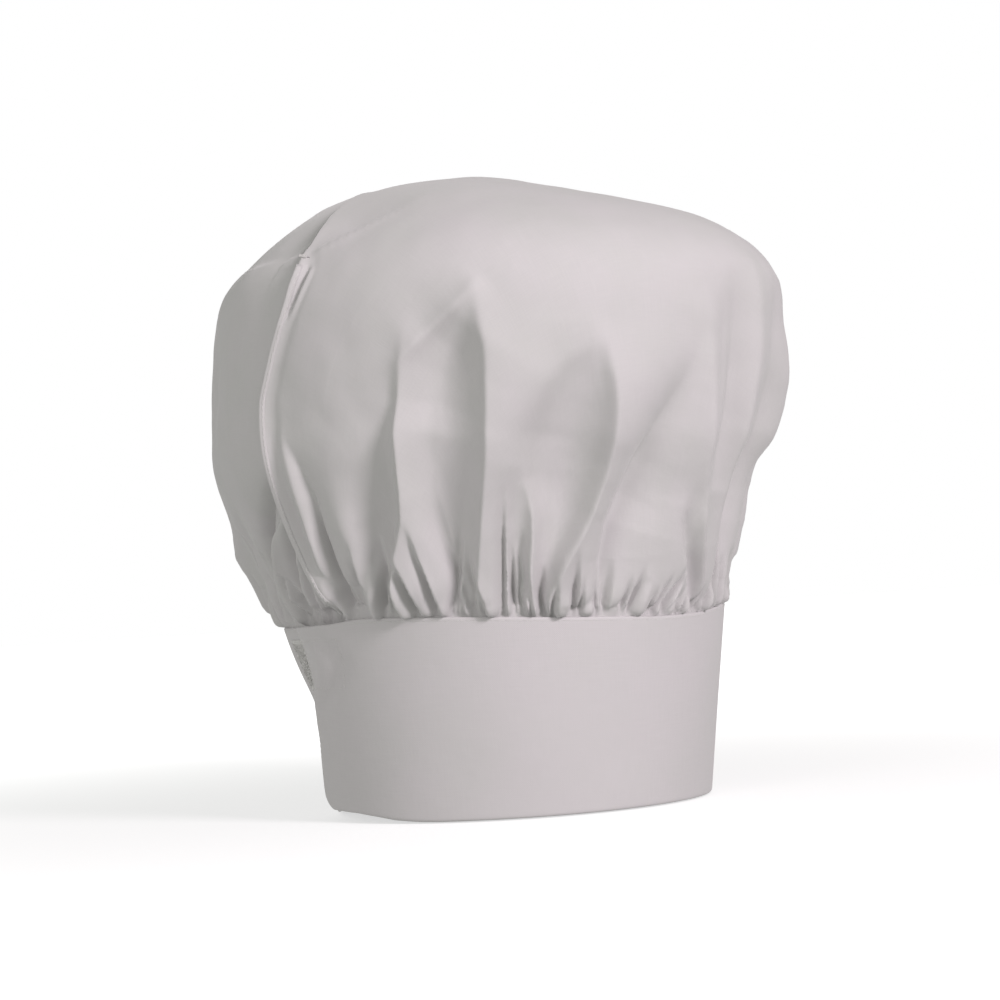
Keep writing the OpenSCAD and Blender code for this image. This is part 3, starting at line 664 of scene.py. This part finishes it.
# the edge of the near panel stands a little off the panel under it, which is tucked in
edge_mm = (U - U[:, :1]) * DEG * Rb
last_mm = (U[:, -1:] - U) * DEG * Rb
open_s = smooth((0.60 - Sg) / 0.06)
D += open_s * smooth(Sg / 0.03) * ((2.2 + 1.0 * smooth((0.35 - Sg) / 0.1)) * np.exp(-(edge_mm / (2.8 + 1.4 * smooth((0.30 - Sg) / 0.1))) ** 2) - (0.4 + 1.2 * smooth((0.30 - Sg) / 0.12)) * np.exp(-((edge_mm - 7.0) / 2.2) ** 2) + 0.35 * np.sin(Sg * 46) * np.exp(-(edge_mm / 6.0) ** 2))
under = smooth((24.0 - last_mm) / 14.0)
D -= under * (3.1 * smooth((0.75 - Sg) / 0.13) + 0.45 * smooth((0.80 - Sg) / 0.06) + 1.6 * smooth((0.56 - Sg) / 0.10) * smooth(Sg / 0.03))
# the curl of the hem at the slit's end
curl = np.exp(-((Sg - 0.520) * ARC / 11.0) ** 2) * np.exp(-(edge_mm / 2.6) ** 2)
D += 1.5 * curl
loop = smooth((Sg - 0.452) / 0.045) * smooth((0.549 - Sg) / 0.016)
loop_at = 3.9 - 1.9 * np.clip((0.545 - Sg) / 0.09, 0, 1)
D += loop * (1.1 * np.exp(-((edge_mm - loop_at - 2.6) / 1.5) ** 2) - 2.7 * np.exp(-((edge_mm - loop_at) / 1.25) ** 2))

# both panels follow the band's edge where they join it
drop = np.exp(-ARCS / 24.0)
Rb = Rb - inset(U, 89.0) * drop - 2.4 * np.exp(-ARCS / 1.1)
Zb = Zb + top_z(U) * np.exp(-ARCS / 26.0) - (0.8 + 0.5 * (U > 220) * (U < 408)) * droop * np.exp(-((ARCS - 2.4) / 2.0) ** 2)
dR, dZ = np.gradient(Rb, axis=0), np.gradient(Zb, axis=0)
ln = np.hypot(dR, dZ)
nR, nZ = blur(dZ / ln, 1.5, 0), blur(-dR / ln, 1.5, 0)
fade = smooth((1 - Sg) / 0.10)
Rg = np.maximum(0.5, Rb + D * nR * (0.3 + 0.7 * fade))
Zg = Zb + D * nZ
Tg = U + X / np.maximum(Rb, 30) / DEG
P = np.stack([Rg * np.cos(Tg * DEG), Rg * np.sin(Tg * DEG), Zg], -1)

# rows tucked between the two walls of the band
tuck_z = np.array([80.8, 82.8, 84.8, 86.6, 88.0])
tuck = []
for zt in tuck_z:
    t_ = U[0]
    lo, hi = low_z(t_), BAND_H + top_z(t_)
    zz = lo + zt * (hi - lo) / BAND_H
    r = BOTTOM_R + (TOP_R - BOTTOM_R) * zz / BAND_H - inset(t_, zz) - 1.12 + 0.12 * D[0] / 3
    tuck.append(np.stack([r * np.cos(t_ * DEG), r * np.sin(t_ * DEG), zz], -1))
P = np.concatenate([np.array(tuck), P])
K = len(tuck_z)
s_all = np.r_[(tuck_z - 89.3) / ARC, rows]
flat_r = (1 - s_all) * ARC
u_all = np.concatenate([np.repeat(U[:1], K, 0), U])
uv = np.stack([flat_r[:, None] * np.cos(u_all * DEG), flat_r[:, None] * np.sin(u_all * DEG)], -1) * MM

verts, uvs, faces, ring_of = [], [], [], []
count = 0
prev, prev_cols = None, None
s_close = K + int(np.searchsorted(rows, SLIT + 0.004))
for i in range(len(P)):
    s = s_all[i]
    r_mean = float(np.hypot(P[i, :, 0], P[i, :, 1]).mean())
    step = 1
    if s > 0.8:
        for lim, st in ((78, 2), (39, 4), (19.5, 8), (9.7, 16), (5.0, 32)):
            if r_mean < lim:
                step = st
        if prev is not None and step > prev_cols * 2:
            step = prev_cols * 2
    line = P[i, ::step]
    ids = np.arange(count, count + len(line))
    count += len(line)
    verts.append(line)
    uvs.append(uv[i, ::step])
    closed = i >= s_close
    if prev is not None:
        if step == prev_cols:
            a, b = prev, ids
            q = np.stack([a[:-1], a[1:], b[1:], b[:-1]], -1).tolist()
            faces += q
            if closed and i - 1 >= s_close:
                faces.append([int(a[-1]), int(a[0]), int(b[0]), int(b[-1])])
        else:
            a, b = prev, ids
            m = len(b)
            for k in range(m):
                a0, a1, a2 = a[2 * k], a[2 * k + 1], a[(2 * k + 2) % len(a)]
                b0, b1 = b[k], b[(k + 1) % m]
                faces += [[int(a0), int(a1), int(b0)], [int(a1), int(b1), int(b0)], [int(a1), int(a2), int(b1)]]
    prev, prev_cols = ids, step
pole = count
verts.append(np.array([[0.0, 0.0, float(verts[-1][:, 2].max()) + 0.05]]))
uvs.append(np.array([[0.0, 0.0]]))
for k in range(len(prev)):
    faces.append([int(prev[k]), int(prev[(k + 1) % len(prev)]), pole])
crown = make("crown_cloth_panel", np.concatenate(verts), faces, np.concatenate(uvs))
crown.data.materials.append(CROWN_CLOTH)
solidify(crown, CLOTH, -1.0)
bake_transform(crown)
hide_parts("crown_lower", "crown_upper", "crown_gathered_edge")

# ---------------------------------------------------------------- hems along the slit
G = P[K:]
d_row, d_col = np.gradient(G, axis=0), np.gradient(G, axis=1)
NG = np.cross(d_col, d_row)
NG /= np.linalg.norm(NG, axis=-1, keepdims=True)


def across(i, from_first, mm):
    """Point and normal on the crown's row i, mm from its first or last column. Negative runs off the edge."""
    cols = np.arange(0, 14) if from_first else NC - 1 - np.arange(0, 14)
    line, nrm = G[i, cols], NG[i, cols]
    dist = np.r_[0, np.cumsum(np.linalg.norm(np.diff(line, axis=0), axis=1))]
    q = np.clip(mm, 0, dist[-1])
    p = np.array([np.interp(q, dist, line[:, c]) for c in range(3)]).T
    v = np.array([np.interp(q, dist, nrm[:, c]) for c in range(3)]).T
    out = line[0] - line[4]
    out /= np.linalg.norm(out)
    p = p + np.where(mm < 0, -mm, 0)[:, None] * out
    return p, v / np.linalg.norm(v, axis=1, keepdims=True)


def hem(name, from_first, width, s0, s1, node):
    """A hem: the panel's edge folded over itself, as one strip of cloth round the edge."""
    sec = [(width, 0.10), (width - 0.25, 0.36), (width * .75, 0.40), (width * .5, 0.40), (width * .25, 0.42), (0.5, 0.46), (0.0, 0.44),
           (-0.42, 0.22), (-0.60, -0.25), (-0.42, -0.72), (0.0, -0.94), (0.5, -0.96), (width * .25, -0.92), (width * .5, -0.9),
           (width * .75, -0.9), (width - 0.25, -0.86), (width, -0.6)]
    xs, hs = np.array(sec).T
    picked = [i for i in range(len(rows)) if s0 <= rows[i] <= s1]
    vs, us = [], []
    for i in picked:
        p, v = across(i, from_first, xs)
        vs.append(p + v * hs[:, None])
        us.append(np.stack([np.cumsum(np.r_[0, np.hypot(np.diff(xs), np.diff(hs))]) * MM, np.full(len(xs), rows[i] * ARC * MM)], -1))
    m, c = len(picked), len(xs)
    idx = np.arange(m * c).reshape(m, c)
    nxt = np.roll(idx, -1, axis=1)
    f = np.stack([idx[:-1], nxt[:-1], nxt[1:], idx[1:]], -1).reshape(-1, 4)
    f = (f if from_first else f[:, ::-1]).tolist()
    ends = [idx[0].tolist(), idx[-1][::-1].tolist()]
    f += [e if not from_first else e[::-1] for e in ends]
    ob = make(name, np.concatenate(vs), f, np.concatenate(us))
    ob.data.materials.append(CROWN_CLOTH)
    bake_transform(ob)
    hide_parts(node)
    return ob


over_hem = hem("slit_over_hem_fold", True, 2.4, 0.004, SLIT - 0.006, "slit_over_hem")
under_hem = hem("slit_under_hem_fold", False, 3.6, 0.004, SLIT - 0.012, "slit_under_hem")


# ---------------------------------------------------------------- sewing
def stitches(name, where, normal, pitch, length, dia, proud=0.5, sides=6):
    """Separate stitches along a line of points: each dips into the cloth at its ends."""
    where, normal = np.asarray(where, float), np.asarray(normal, float)
    run = np.r_[0, np.cumsum(np.linalg.norm(np.diff(where, axis=0), axis=1))]
    vs, fs, c = [], [], 0
    shape_t = np.array([0, 0.12, 0.35, 0.65, 0.88, 1.0])
    lift = np.array([-0.9, 0.1, 0.5, 0.5, 0.1, -0.9]) * dia * proud
    fat = np.array([0.45, 0.9, 1.0, 1.0, 0.9, 0.45]) * dia / 2
    k = 0.0
    while k + length < run[-1]:
        at = k + shape_t * length
        p = np.stack([np.interp(at, run, where[:, j]) for j in range(3)], -1)
        v = np.stack([np.interp(at, run, normal[:, j]) for j in range(3)], -1)
        v /= np.linalg.norm(v, axis=1, keepdims=True)
        d = p[-1] - p[0]
        d /= np.linalg.norm(d)
        side = np.cross(d, v)
        side /= np.linalg.norm(side, axis=1, keepdims=True)
        p = p + v * lift[:, None]
        ang = np.linspace(0, 2 * math.pi, sides, endpoint=False)
        ring = p[:, None] + fat[:, None, None] * (np.cos(ang)[None, :, None] * side[:, None] + np.sin(ang)[None, :, None] * v[:, None])
        vs.append(ring.reshape(-1, 3))
        m = len(shape_t)
        idx = c + np.arange(m * sides).reshape(m, sides)
        nx = np.roll(idx, -1, axis=1)
        fs += np.stack([idx[:-1], idx[1:], nx[1:], nx[:-1]], -1).reshape(-1, 4).tolist()
        fs += [idx[0].tolist(), idx[-1][::-1].tolist()]
        c += m * sides
        k += pitch
    ob = make(name, np.concatenate(vs), fs)
    ob.data.materials.append(THREAD)
    return ob


def outward(p, q):
    """Unit vector from q to p, point by point."""
    v = p - q
    return v / np.linalg.norm(v, axis=-1, keepdims=True)


# along the top of the band, holding the crown in
tl = np.arange(106.0, 436.0, 0.6)
line = band_at(tl, 87.4, 0.0)
top_sewing = stitches("band_top_stitches", line, outward(line, band_at(tl, 87.4, 2.0)), 2.5, 2.15, 0.26, 0.35)
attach(top_sewing, "band")
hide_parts("band_top_stitching")

for first, ob_name, node in ((True, "slit_over_hem_stitches", "slit_over_hem_stitching"), (False, "slit_under_hem_stitches", "slit_under_hem_stitching")):
    pp, vv = [], []
    for i in range(3, int(np.searchsorted(rows, SLIT - 0.02))):
        p, v = across(i, first, np.array([1.6 if first else 2.7]))
        side = 0.40 if first else -0.90
        pp.append(p[0] + v[0] * side)
        vv.append(v[0] if first else -v[0])
    ob = stitches(ob_name, pp, vv, 2.7, 2.3, 0.28, 0.4)
    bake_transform(ob)
    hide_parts(node)

# the bartack across the slit's end: short stitches side by side
i0 = int(np.searchsorted(rows, SLIT + 0.002))
tack = []
for k in range(7):
    x0 = -0.5 + k * 0.5
    p, v = across(i0, True, np.array([x0, x0 + 0.02]))
    up = G[i0 + 1, 0] - G[i0, 0]
    up /= np.linalg.norm(up)
    a, b = p[0] + v[0] * 0.5 - up * 1.1, p[0] + v[0] * 0.5 + up * 1.1
    seg = np.linspace(a, b, 5)
    tack.append(stitches(f"tack_{k}", seg, np.repeat(v[:1], 5, 0), 9, 2.1, 0.42, 0.5))
bpy.ops.object.select_all(action="DESELECT")
for o in tack:
    o.select_set(True)
bpy.context.view_layer.objects.active = tack[0]
bpy.ops.object.join()
bartack = tack[0]
bartack.name = "slit_bartack_stitches"
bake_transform(bartack)
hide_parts("slit_bartack")

# ---------------------------------------------------------------- hook and loop patches
def slab(name, t0, t1, z0, z1, o0, o1, mat, nt=40, nz=26, corner=1.6):
    """A tape lying on the band between two insets, with rounded corners and edges."""
    a, b = np.linspace(0, 1, nt), np.linspace(0, 1, nz)
    A, B = np.meshgrid(a, b, indexing="ij")
    Tt, Zt = t0 + (t1 - t0) * A, z0 + (z1 - z0) * B
    wide, tall = (t1 - t0) * DEG * 102, z1 - z0
    ex, ez = np.minimum(A, 1 - A) * wide, np.minimum(B, 1 - B) * tall
    # pull the corners in
    cx, cz = np.clip(corner - ex, 0, corner), np.clip(corner - ez, 0, corner)
    over = np.maximum(0, np.hypot(cx, cz) - corner)
    ax = np.where(A < 0.5, 1, -1) * over * 0.7 / (102 * DEG)
    az = np.where(B < 0.5, 1, -1) * over * 0.7
    Tt, Zt = Tt + ax, Zt + az
    soft = np.clip(np.minimum(ex, ez) / 0.5, 0, 1)
    outer = o0 + (o1 - o0) * 0.5 * (1 - np.sqrt(np.maximum(0, 1 - (1 - soft) ** 2)))
    inner = o1 - (o1 - o0) * 0.5 * (1 - np.sqrt(np.maximum(0, 1 - (1 - soft) ** 2)))
    pa, pb = band_at(Tt, Zt, outer), band_at(Tt, Zt, inner)
    vs = np.concatenate([pa.reshape(-1, 3), pb.reshape(-1, 3)])
    idx = np.arange(nt * nz).reshape(nt, nz)
    q = np.stack([idx[:-1, :-1], idx[1:, :-1], idx[1:, 1:], idx[:-1, 1:]], -1).reshape(-1, 4)
    f = q.tolist() + (q[:, ::-1] + nt * nz).tolist()
    rim = np.r_[idx[:, 0], idx[-1, 1:], idx[-2::-1, -1], idx[0, -2:0:-1]]
    for x, y in zip(rim, np.roll(rim, -1)):
        f.append([int(y), int(x), int(x) + nt * nz, int(y) + nt * nz])
    uv1 = np.stack([Tt * DEG * 102 * MM, Zt * MM], -1).reshape(-1, 2)
    ob = make(name, vs, f, np.concatenate([uv1, uv1]))
    ob.data.materials.append(mat)
    return ob, np.concatenate([Tt.ravel(), Tt.ravel()])


LOOP_T0, LOOP_T1, HOOK_T0, HOOK_T1 = 427.5, 475.0, 81.6, 101.5
loop_tape, _ = slab("loop_tape", LOOP_T0, LOOP_T1, TAPE_LOW, TAPE_TOP, -0.42, 0.04, TAPE, 60, 26)
hook_tape, hook_angles = slab("hook_tape", HOOK_T0, HOOK_T1, TAPE_LOW, TAPE_TOP, 2.12, 2.62, TAPE, 44, 26)


def tubes(name, paths, radii, sides=3, mat=None):
    """Many thin bent fibres as one mesh. paths is fibres by points by 3."""
    f_, m, _ = paths.shape
    d = np.gradient(paths, axis=1)
    d /= np.linalg.norm(d, axis=-1, keepdims=True)
    ref = np.where(np.abs(d[..., 2:3]) < 0.9, np.array([0, 0, 1.0]), np.array([1.0, 0, 0]))
    e1 = np.cross(d, ref)
    e1 /= np.linalg.norm(e1, axis=-1, keepdims=True)
    e2 = np.cross(d, e1)
    ang = np.linspace(0, 2 * math.pi, sides, endpoint=False)
    ring = paths[:, :, None] + radii[None, :, None, None] * (np.cos(ang)[None, None, :, None] * e1[:, :, None] + np.sin(ang)[None, None, :, None] * e2[:, :, None])
    idx = np.arange(f_ * m * sides).reshape(f_, m, sides)
    nx = np.roll(idx, -1, axis=2)
    q = np.stack([idx[:, :-1], nx[:, :-1], nx[:, 1:], idx[:, 1:]], -1).reshape(-1, 4)
    caps = np.concatenate([idx[:, 0, ::-1], idx[:, -1]])
    ob = make(name, ring.reshape(-1, 3), q.tolist() + caps.tolist())
    ob.data.materials.append(mat)
    return ob


# loops: small arches of fibre leaning every way
n_loop = 3400
lt = dice.uniform(LOOP_T0 + 1.3, LOOP_T1 - 1.3, n_loop)
lz = dice.uniform(TAPE_LOW + 2.0, TAPE_TOP - 2.0, n_loop)
o0 = band_at(lt, lz, -0.36)
nv = outward(o0, band_at(lt, lz, 1.5))
tv = outward(band_at(lt + 0.2, lz, -0.4), o0)
zv = np.cross(nv, tv)
th = dice.uniform(0, 2 * math.pi, n_loop)
along = np.cos(th)[:, None] * tv + np.sin(th)[:, None] * zv
lean_v = (np.cos(th + 1.5) * dice.uniform(0, .35, n_loop))[:, None] * tv + (np.sin(th + 1.5) * dice.uniform(0, .35, n_loop))[:, None] * zv
wide, high = dice.uniform(0.28, 0.5, n_loop), dice.uniform(0.35, 0.72, n_loop)
bow = np.array([(-1, -.05), (-1.05, .55), (-.45, 1.0), (.45, 1.0), (1.05, .55), (1, -.05)])
paths = np.stack([o0 + along * (wide * a)[:, None] + (nv + lean_v) * (high * b)[:, None] for a, b in bow], 1)
loops = tubes("loop_fibres", paths, np.full(6, 0.055), 3, NYLON)
# hooks: rows of small bent pegs, each curling over to one side
ht, hz = np.meshgrid(np.arange(HOOK_T0 + 1.2, HOOK_T1 - 1.1, 0.72), np.arange(TAPE_LOW + 2.0, TAPE_TOP - 1.9, 1.25), indexing="ij")
ht = (ht + 0.36 * (np.arange(hz.shape[1]) % 2)[None, :]).ravel()
hz = hz.ravel()
h0 = band_at(ht, hz, 2.56)
nv = outward(h0, band_at(ht, hz, 1.0))
zv = np.tile(np.array([0, 0, 1.0]), (len(h0), 1))
tv = np.cross(zv, nv)
tv /= np.linalg.norm(tv, axis=1, keepdims=True)
way = np.where((np.round(hz / 1.25).astype(int) % 2) == 0, 1.0, -1.0)[:, None]
curve = [(0, 0), (0, .35), (.04, .62), (.16, .78), (.34, .78), (.44, .62), (.43, .46)]
paths = np.stack([h0 + tv * way * a + nv * b for a, b in curve], 1)
hooks = tubes("hook_pegs", paths, np.array([.17, .14, .12, .11, .10, .08, .05]), 5, HOOK)
for ob, slot, node in ((loop_tape, "loop_tape", "loop_patch"), (loops, "loop_tape", None)):
    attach(ob, "band")
    if node:
        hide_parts(node)
band_blend(hook_tape)
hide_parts("hook_patch")
band_blend(hooks)


def box_line(t0, t1, z0, z1, o):
    """A rectangle on the band, as angles and heights."""
    n = 60
    t = np.r_[np.linspace(t0, t1, n), np.full(n, t1), np.linspace(t1, t0, n), np.full(n, t0)]
    z = np.r_[np.full(n, z0), np.linspace(z0, z1, n), np.full(n, z1), np.linspace(z1, z0, n)]
    keep = np.r_[True, (np.abs(np.diff(t)) + np.abs(np.diff(z))) > 1e-9]
    return t[keep], z[keep]


def patch_sewing(name, t0, t1, faces_, node, on_tab):
    """The same box of stitches, seen on the patch and again on the other side of the cloth."""
    t, z = box_line(t0, t1, TAPE_LOW + 1.1, TAPE_TOP - 1.1, 0)
    made = []
    for k, (o, sign) in enumerate(faces_):
        p = band_at(t, z, o)
        v = outward(band_at(t, z, o - 1), band_at(t, z, o + 1)) * sign
        made.append(stitches(f"{name}_{k}", p, v, 2.4, 2.05, 0.26, 0.35))
    bpy.ops.object.select_all(action="DESELECT")
    for o in made:
        o.select_set(True)
    bpy.context.view_layer.objects.active = made[0]
    bpy.ops.object.join()
    ob = made[0]
    ob.name = name
    if on_tab:
        band_blend(ob)
    else:
        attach(ob, "band")
    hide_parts(node)


patch_sewing("loop_patch_stitches", LOOP_T0 + 0.6, LOOP_T1 - 0.6, ((-0.42, 1), (2.10, -1)), "loop_patch_stitching", False)
patch_sewing("hook_patch_stitches", HOOK_T0 + 0.6, HOOK_T1 - 0.6, ((0.0, 1), (2.62, -1)), "hook_patch_stitching", True)

ze = np.linspace(14, 87, 90)
te = np.full_like(ze, TIP + 1.5)
p = band_at(te, ze, 0.0)
edge_sewing = stitches("over_end_edge_stitches", p, outward(p, band_at(te, ze, 2)), 2.5, 2.1, 0.26, 0.35)
band_blend(edge_sewing)
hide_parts("over_end_edge_stitching")

# ---------------------------------------------------------------- care label, sewn in at the top inside the band
A, B = np.meshgrid(np.linspace(-1, 1, 18), np.linspace(0, 1, 30), indexing="ij")
lt = 150 + A * 11 / 102 / DEG
lz = 86.5 - 39 * B
lo_ = 2.75 + 1.1 * smooth((B - 0.15) / 0.85) * (1 + 0.5 * A * A) + 0.5 * np.sin(B * 5 + A) * B
idx = np.arange(A.size).reshape(A.shape)
f = np.stack([idx[:-1, :-1], idx[:-1, 1:], idx[1:, 1:], idx[1:, :-1]], -1).reshape(-1, 4)
label = make("care_label_tape", band_at(lt, lz, lo_).reshape(-1, 3), f, np.stack([A * 0.011, B * 0.039], -1).reshape(-1, 2))
label.data.materials.append(LABEL)
solidify(label, 0.15, 0.0)
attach(label, "band")
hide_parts("care_label")

# ---------------------------------------------------------------- floor, light, camera
def unseen_by_light(ob):
    """A backdrop that shows but lights nothing."""
    ob.visible_diffuse = ob.visible_glossy = ob.visible_transmission = ob.visible_shadow = ob.visible_volume_scatter = False


bpy.ops.mesh.primitive_uv_sphere_add(segments=48, ring_count=24, radius=7.5, location=(0, 0, 0))
dome = bpy.context.object
dome.name = "backdrop"
dome_mat = bpy.data.materials.new("backdrop_white")
dome_mat.use_nodes = True
db = dome_mat.node_tree.nodes["Principled BSDF"]
db.inputs["Base Color"].default_value = (0, 0, 0, 1)
db.inputs["Specular IOR Level"].default_value = 0
db.inputs["Emission Color"].default_value = (1, 1, 1, 1)
db.inputs["Emission Strength"].default_value = 1.0
dome.data.materials.append(dome_mat)
unseen_by_light(dome)
dome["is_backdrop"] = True

floor_mat = bpy.data.materials.new("studio_paper")
floor_mat.use_nodes = True
fb = floor_mat.node_tree.nodes["Principled BSDF"]
fb.inputs["Base Color"].default_value = (0.50, 0.50, 0.505, 1)
fb.inputs["Roughness"].default_value = 0.9
fb.inputs["Specular IOR Level"].default_value = 0.1
fb.inputs["Emission Color"].default_value = (1, 1, 1, 1)
fn, fl = floor_mat.node_tree.nodes.new, floor_mat.node_tree.links.new
ft, fm = fn("ShaderNodeTexCoord"), fn("ShaderNodeVectorMath")
fm.operation = "LENGTH"
fr = fn("ShaderNodeMapRange")
fr.interpolation_type = "SMOOTHSTEP"
fr.inputs["From Min"].default_value, fr.inputs["From Max"].default_value = 0.15, 1.0
fr.inputs["To Min"].default_value, fr.inputs["To Max"].default_value = 0.60, 1.0
fl(ft.outputs["Object"], fm.inputs[0])
fl(fm.outputs["Value"], fr.inputs[0])
fl(fr.outputs[0], fb.inputs["Emission Strength"])
bpy.ops.mesh.primitive_circle_add(vertices=64, fill_type="NGON", radius=7.4, location=(0, 0, -0.0006))
floor = bpy.context.object
floor.name = "floor"
floor.data.materials.append(floor_mat)
floor.visible_diffuse = False
floor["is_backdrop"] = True

world = bpy.data.worlds.new("studio")
scene.world = world
world.use_nodes = True
bg = world.node_tree.nodes["Background"]
bg.inputs[0].default_value = (0.995, 1.0, 0.955, 1)
bg.inputs[1].default_value = 0.41


def softbox(name, at, aim, size, watts, colour):
    d = bpy.data.lights.new(name, "AREA")
    d.shape = "RECTANGLE"
    d.size, d.size_y = size
    d.energy = watts
    d.color = colour
    o = bpy.data.objects.new(name, d)
    scene.collection.objects.link(o)
    o.location = at
    o.rotation_mode = "QUATERNION"
    o.rotation_quaternion = (Vector(aim) - Vector(at)).to_track_quat("-Z", "Y")
    return o


def around(azimuth, dist, height):
    return (dist * math.cos(azimuth * DEG), dist * math.sin(azimuth * DEG), height)


softbox("key", around(186, 1.60, 0.82), (0, 0, 0.13), (0.42, 0.42), 20.5, (1.0, 0.91, 0.96))
softbox("fill", around(116, 1.7, 0.40), (0, 0, 0.08), (0.6, 0.6), 5.3, (1.0, 0.985, 0.965))
softbox("rim", around(20, 1.5, 0.8), (0, 0, 0.15), (0.8, 1.4), 1.0, (1.0, 0.98, 0.99))

d, h, th = 1.25, 0.103, 148 * DEG
pitch, roll, focal, yaw = 1.854 * DEG, 3.56 * DEG, 2622.0, -0.059 * DEG
C = Vector((d * math.cos(th), d * math.sin(th), h))
a = th + math.pi + yaw
F = Vector((math.cos(a) * math.cos(pitch), math.sin(a) * math.cos(pitch), math.sin(pitch)))
R = F.cross(Vector((0, 0, 1))).normalized()
Up = R.cross(F)
R2 = R * math.cos(roll) - Up * math.sin(roll)
U2 = Up * math.cos(roll) + R * math.sin(roll)
cam_data = bpy.data.cameras.new("camera")
cam_data.sensor_width = 36
cam_data.lens = focal / 1000 * 36
cam_data.clip_start, cam_data.clip_end = 0.01, 60
cam = bpy.data.objects.new("camera", cam_data)
scene.collection.objects.link(cam)
cam.matrix_world = Matrix(((R2.x, U2.x, -F.x, C.x), (R2.y, U2.y, -F.y, C.y), (R2.z, U2.z, -F.z, C.z), (0, 0, 0, 1)))
scene.camera = cam
scene.view_settings.view_transform = "Standard"
scene.view_settings.look = "None"

lo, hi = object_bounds()
